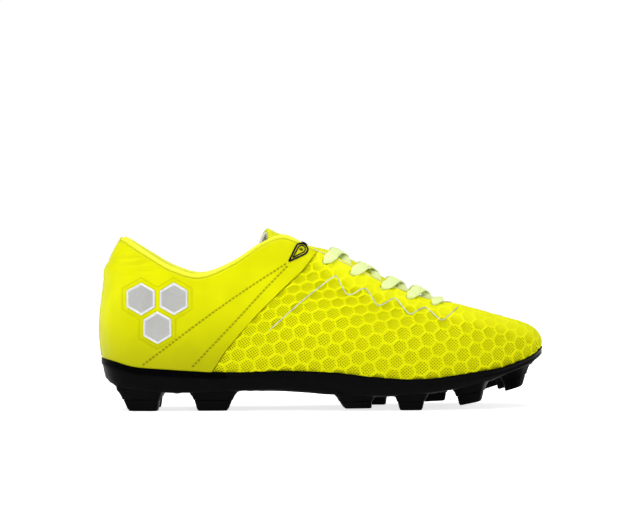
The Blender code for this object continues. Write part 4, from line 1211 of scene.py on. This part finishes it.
def build_eyelet_patch(medial):
    """Two thin black lines in a teardrop round the top eyelet."""
    back, across = unit(np.array((-0.72, -0.69))), np.array((0.69, -0.72))
    points, faces, count = [], [], 0
    for tip, radius, width, high in ((10.8, 3.8, 1.15, 1.0), (7.5, 2.25, 0.8, 0.9)):
        outline = resample(teardrop(tip, radius), 0.45)[:-1]
        outline = (np.roll(outline, 1, 0) + outline * 2 + np.roll(outline, -1, 0)) / 4
        flat = np.array(TOP_EYELET) + back * outline[:, :1] + across * outline[:, 1:]
        line, normals = surface_line(flat, medial)
        line = line + normals * (quarter_swell(*locate(*flat.T, medial), medial) + 0.15)[:, None]
        tangents = unit(np.roll(line, -1, 0) - np.roll(line, 1, 0))
        turns = circle(10)
        loops = sections(line, np.cross(normals, tangents), normals,
                         np.cos(turns) * width / 2, np.sin(turns) * high / 2)
        number = count + np.arange(loops.size // 3).reshape(loops.shape[:2])
        points.append(loops.reshape(-1, 3))
        faces.append(tube_faces(np.vstack((number, number[:1]))))
        count += number.size
    side = SIDES[medial]
    new_piece(f"eyelet_mark_{side}", np.vstack(points), faces, "black", [f"eyelet_patch_{side}"])


def build_throat_seam(medial):
    """A row of short pale stitches along the throat's edge."""
    u = np.linspace(BINDING_END + 0.25, THROAT_END - 0.35, 400)
    v = 0.972 + 0 * u
    line = resample(np.hstack((inset(u, v, medial, -0.32), outward(u, v, medial))), 0.5)
    gap = np.abs(np.sin(run_length(line[:, :3]) * math.pi / 2.6)) ** 0.5
    ribbon(f"throat_seam_{SIDES[medial]}", line[:, :3], line[:, 3:], 0.25 + 0.45 * gap, 0.25 + 0.30 * gap,
           "thread", [], around=8)


# The sole


def ring(u, offset, drop=0.0, share=None):
    """A closed ring round the feather edge, moved outward by offset; its height is this far
    under the edge or this share of the way from the plate's underside up to it. The lip, where
    the offset is positive, narrows towards the heel."""
    sides = []
    for medial in (False, True):
        edge = feather(u, medial)
        x = edge[:, :1]
        lip = max(offset - 0.3, 0.0) * (1 - smooth(40.0, -60.0, x)) * (1 - 0.6 * smooth(118.0, 138.0, x))
        reach = min(offset, 0.3) * (end_fullness(edge) if offset < 0 else 1.0) + lip
        points = edge - inward_normal(u, medial) * reach
        if share is not None:
            floor = by_x(UNDERSIDE, points[:, 0])
            points[:, 2] = floor + (points[:, 2] - floor) * share
        points[:, 2] -= drop
        sides.append(points)
    return np.vstack((sides[0], sides[1][-2:0:-1]))


def end_fullness(edge):
    """The share of a wall's slope that is left at the heel and the toe, where it is steeper."""
    x = edge[:, :1]
    return 1.0 - 0.5 * np.maximum(smooth(-105.0, -132.0, x), smooth(108.0, 132.0, x))


def across_grid(u, gap, shares, full_ends=False):
    """Points from the lateral to the medial feather edge at each station, gap inside both."""
    sides = []
    for medial in (False, True):
        edge = feather(u, medial)
        sides.append(edge + inward_normal(u, medial) * gap * (end_fullness(edge) if full_ends else 1.0))
    return sides[0][:, None] + (sides[1] - sides[0])[:, None] * shares[None, :, None]


def to_edge(grid, shares):
    """How far each point of such a grid is from the nearer edge."""
    return np.minimum(shares, 1 - shares)[None] * np.linalg.norm(grid[:, -1] - grid[:, 0], axis=-1)[:, None]


def underside_relief(points):
    """How far the plate's ribs stand down from it: a honeycomb under the ball and the heel,
    long ribs under the waist, and a rim."""
    x, y = points[..., 0], points[..., 1]
    size = 1.35
    cells = 1 - smooth(0.35, 0.95, cell_edge(x / size, y / size))
    waist = smooth(-46.0, -38.0, x) * (1 - smooth(2.0, 12.0, x))
    ribs = sum(np.exp(-((y - middle + 2.0) / 1.6) ** 4) for middle in (-16.0, -8.0, 0.0, 8.0, 16.0))
    return 0.9 * cells * (1 - waist) + 1.3 * ribs * waist


def plate_mesh():
    """Points and faces of the plate without its studs."""
    stations, across = 380 // FINE, 96 // FINE
    u = np.linspace(0.0, TOE, stations + 1)
    profile = curve(WALL, np.linspace(0, len(WALL) - 1, 2 * len(WALL) - 1))
    rings = [ring(u, offset, share=share) for offset, share in profile]
    rings += [ring(u, 0.3, drop) for drop in (0.2, TRAY_DEPTH)]
    around = len(rings[0])
    number = np.arange(len(rings) * around).reshape(len(rings), around)
    faces = [tube_faces(number)]
    points = [np.vstack(rings)]
    first = number.size
    shares = np.linspace(0.0, 1.0, across + 1)
    for gap, drop, turned in ((-WALL[0][0], None, True), (-0.3, TRAY_DEPTH, False)):
        grid = across_grid(u, gap, shares, full_ends=drop is None)
        if drop is None:
            grid[..., 2] = by_x(UNDERSIDE, grid[..., 0])
            grid[..., 2] -= underside_relief(grid) * smooth(1.5, 4.0, to_edge(grid, shares))
        else:
            grid[..., 2] -= drop
        points.append(grid.reshape(-1, 3))
        faces.append(grid_faces(stations + 1, across + 1, first, turned))
        first += grid.shape[0] * grid.shape[1]
    return np.vstack(points), faces


def rounded_block(length, width, count=44):
    """A rounded rectangle, in the plane."""
    turns = circle(count)
    return power(np.cos(turns), 0.42) * length / 2, power(np.sin(turns), 0.42) * width / 2


def stud_slope(x):
    """How steeply the feet of the front studs rise towards the toe."""
    slope = (by_x(UNDERSIDE, x + 3.0) - by_x(UNDERSIDE, x - 3.0)) / 6.0
    return slope * smooth(60.0, 88.0, x)


def stud_loops(spec, levels):
    """Level loops of a stud. Each level is a length, a width, a height and a shift along x;
    a height may be a function of x."""
    x, y, turn = spec[0], spec[1], math.radians(spec[8])
    loops = []
    for length, width, height, shift in levels:
        along, across = rounded_block(length, width)
        px = x + shift + along * math.cos(turn) - across * math.sin(turn)
        py = y + along * math.sin(turn) + across * math.cos(turn)
        pz = height(px) if callable(height) else height + stud_slope(x) * (px - x)
        loops.append(np.stack((px, py, pz + 0 * px), -1))
    return np.stack(loops)


def stud_sizes(spec, share):
    """Length and width at this share of the way from the foot up to the plate."""
    return tuple(spec[4 + k] + (spec[2 + k] - spec[4 + k]) * share for k in (0, 1))


def stud_step_height(spec):
    return spec[6] + (by_x(UNDERSIDE, spec[0]) - spec[6]) * STUD_STEP


def stud_root_loops(spec):
    """From the step up into the plate, flaring out where it meets the plate."""
    low = [side + 1.4 for side in stud_sizes(spec, STUD_STEP * STUD_TAPER)]
    step = stud_step_height(spec)
    floor = float(by_x(UNDERSIDE, spec[0]))
    levels = [(low[0] - 1.0, low[1] - 1.0, step, 0.0), (low[0] - 0.3, low[1] - 0.3, step + 0.15, 0.0)]
    for share in np.linspace(0.0, 1.0, 9):
        flare = 0.55 * share + 0.45 * share**2.2
        size = [side + (spec[2 + k] + 2.0 - side) * flare for k, side in enumerate(low)]
        levels.append((*size, step + 0.5 + (floor - step - 0.5) * share, 0.0))
    levels.append((spec[2] + 3.0, spec[3] + 3.0, lambda at: by_x(UNDERSIDE, at) + 1.6, 0.0))
    return stud_loops(spec, levels)


def build_outsole():
    points, faces = plate_mesh()
    plate = new_piece("sole_plate", points, faces, "plate", weld=0.01, sharp=32.0)
    roots = []
    for index, spec in enumerate(STUDS.values()):
        roots.append(loft(f"stud_root_{index}", stud_root_loops(spec), "plate"))
        union = plate.modifiers.new("root", "BOOLEAN")
        union.operation, union.solver, union.object = "UNION", "MANIFOLD", roots[-1]
    bpy.context.view_layer.update()
    made = bpy.data.meshes.new_from_object(plate.evaluated_get(bpy.context.evaluated_depsgraph_get()))
    plate.modifiers.clear()
    plate.data = made
    made.shade_smooth()
    made.set_sharp_from_angle(angle=math.radians(32.0))
    for root in roots:
        bpy.data.objects.remove(root)
    place(plate, "plate", "outsole")


def build_stud_tip(name, spec):
    foot, step = spec[6], stud_step_height(spec) - 0.3
    levels = []
    for turn in np.linspace(0, math.pi / 2, 6):
        less = 1.8 * (1 - math.sin(turn))
        levels.append((spec[4] - less, spec[5] - less, foot + 0.9 * (1 - math.cos(turn)), spec[7]))
    for share in np.linspace(0.2, 1.0, 7):
        size = stud_sizes(spec, STUD_STEP * STUD_TAPER * share)
        levels.append((*size, foot + (step - foot) * share, spec[7] * (1 - share)))
    levels.append((levels[-1][0] - 0.5, levels[-1][1] - 0.5, step + 0.15, 0.0))
    loops = stud_loops(spec, levels)
    loops[..., 2] = np.maximum(loops[..., 2], 0.0)
    loft(f"stud_cap_{name}", loops, "stud", [f"stud_tip_{name}"], sharp=40.0)


def build_sockliner():
    """The cloth-covered insole, with a raised rim round the heel and the arch."""
    shares = np.linspace(0.0, 1.0, 61)
    grid = across_grid(np.linspace(0.0, TOE, 261), 5.6, shares)
    edge = to_edge(grid, shares)
    cup = 4.0 * (1 - smooth(-10.0, 60.0, grid[..., 0])) + 0.8
    upper, lower = grid.copy(), grid.copy()
    upper[..., 2] += 2.0 + cup * (1 - smooth(0.0, 9.0, edge)) - rounded(edge, 1.2)
    lower[..., 2] -= 1.2
    side = (upper, lower, False, {"weave": grid * (1.0, 1.0, 0.0)})
    sheet_piece("sockliner_pad", "sock", "sockliner", [side], rims="foot head", weld=0.01)


# The scene


def look_at(thing, target):
    thing.rotation_euler = (Vector(target) - thing.location).to_track_quat("-Z", "Y").to_euler()


def add_camera():
    """A long lens on the lateral side, a little over the level and a little rolled."""
    data = bpy.data.cameras.new("camera")
    camera = bpy.data.objects.new("camera", data)
    bpy.context.scene.collection.objects.link(camera)
    target = Vector((-0.0004, 0.0, 0.096))
    away, elevation = 2.4, math.radians(1.0)
    view_width = 0.405  # metres across the picture at the target
    data.sensor_width = 36.0
    data.lens = data.sensor_width * away / view_width
    camera.location = target + Vector((0.0, -math.cos(elevation), math.sin(elevation))) * away
    look_at(camera, target)
    camera.rotation_euler.rotate_axis("Z", math.radians(-0.5))
    data.clip_end = 50.0
    bpy.context.scene.camera = camera


def add_light(name, place_at, target, size, power):
    data = bpy.data.lights.new(name, "AREA")
    data.shape = "RECTANGLE"
    data.size, data.size_y = size
    data.energy = power
    light = bpy.data.objects.new(name, data)
    bpy.context.scene.collection.objects.link(light)
    light.location = place_at
    look_at(light, target)


def add_surroundings():
    floor_looks = Looks("pale_floor", (0.9, 0.9, 0.9), 0.8, Specular_IOR_Level=0.1, Emission_Strength=0.76)
    floor_looks.shader.inputs["Emission Color"].default_value = (1.0, 1.0, 1.0, 1.0)
    floor_looks.use("Roughness", floor_looks.ramp(floor_looks.noise(40.0), 0.3, 0.7, 0.75, 0.9))
    bpy.ops.mesh.primitive_plane_add(size=30.0, location=(0.0, 0.0, -0.0002))
    floor = bpy.context.object
    floor.name = "floor"
    floor.data.materials.append(floor_looks.material)
    world = bpy.data.worlds.new("world")
    bpy.context.scene.world = world
    sky = Nodes(world, "Background")
    _, y, z = sky.parts(sky.node("TexCoord", "Generated", {}))
    band = sky.times(sky.ramp(z, 0.10, 0.32, 1.0, 0.0), sky.ramp(y, -0.6, -0.1))
    sky.use("Strength", sky.node("Math", 0, {0: band, 1: 0.78, 2: 0.24}, operation="MULTIPLY_ADD"))
    sky.shader.inputs["Color"].default_value = (1.0, 1.0, 1.0, 1.0)
    for light in LIGHTS:
        add_light(*light)
    bpy.context.scene.view_settings.view_transform = "Standard"


def finish_hidden_parts():
    for node, key in HIDDEN_PARTS.items():
        slots = bpy.data.objects[node].data.materials
        slots.clear()
        slots.append(MATERIALS[key])


def build_shoe():
    make_materials()
    build_lace()
    build_vamp()
    for medial in (False, True):
        for build in (build_quarter, build_trim_line, build_eyelet_patch, build_throat_seam):
            build(medial)
        for key, centre in HEEL_PATCHES.items():
            build_heel_patch(key, centre, medial)
    build_heel_strip()
    build_collar_binding()
    build_collar_pad()
    build_linings()
    build_tongue()
    build_outsole()
    for name, spec in STUDS.items():
        build_stud_tip(name, spec)
    build_sockliner()
    finish_hidden_parts()


add_camera()
build_shoe()
add_surroundings()
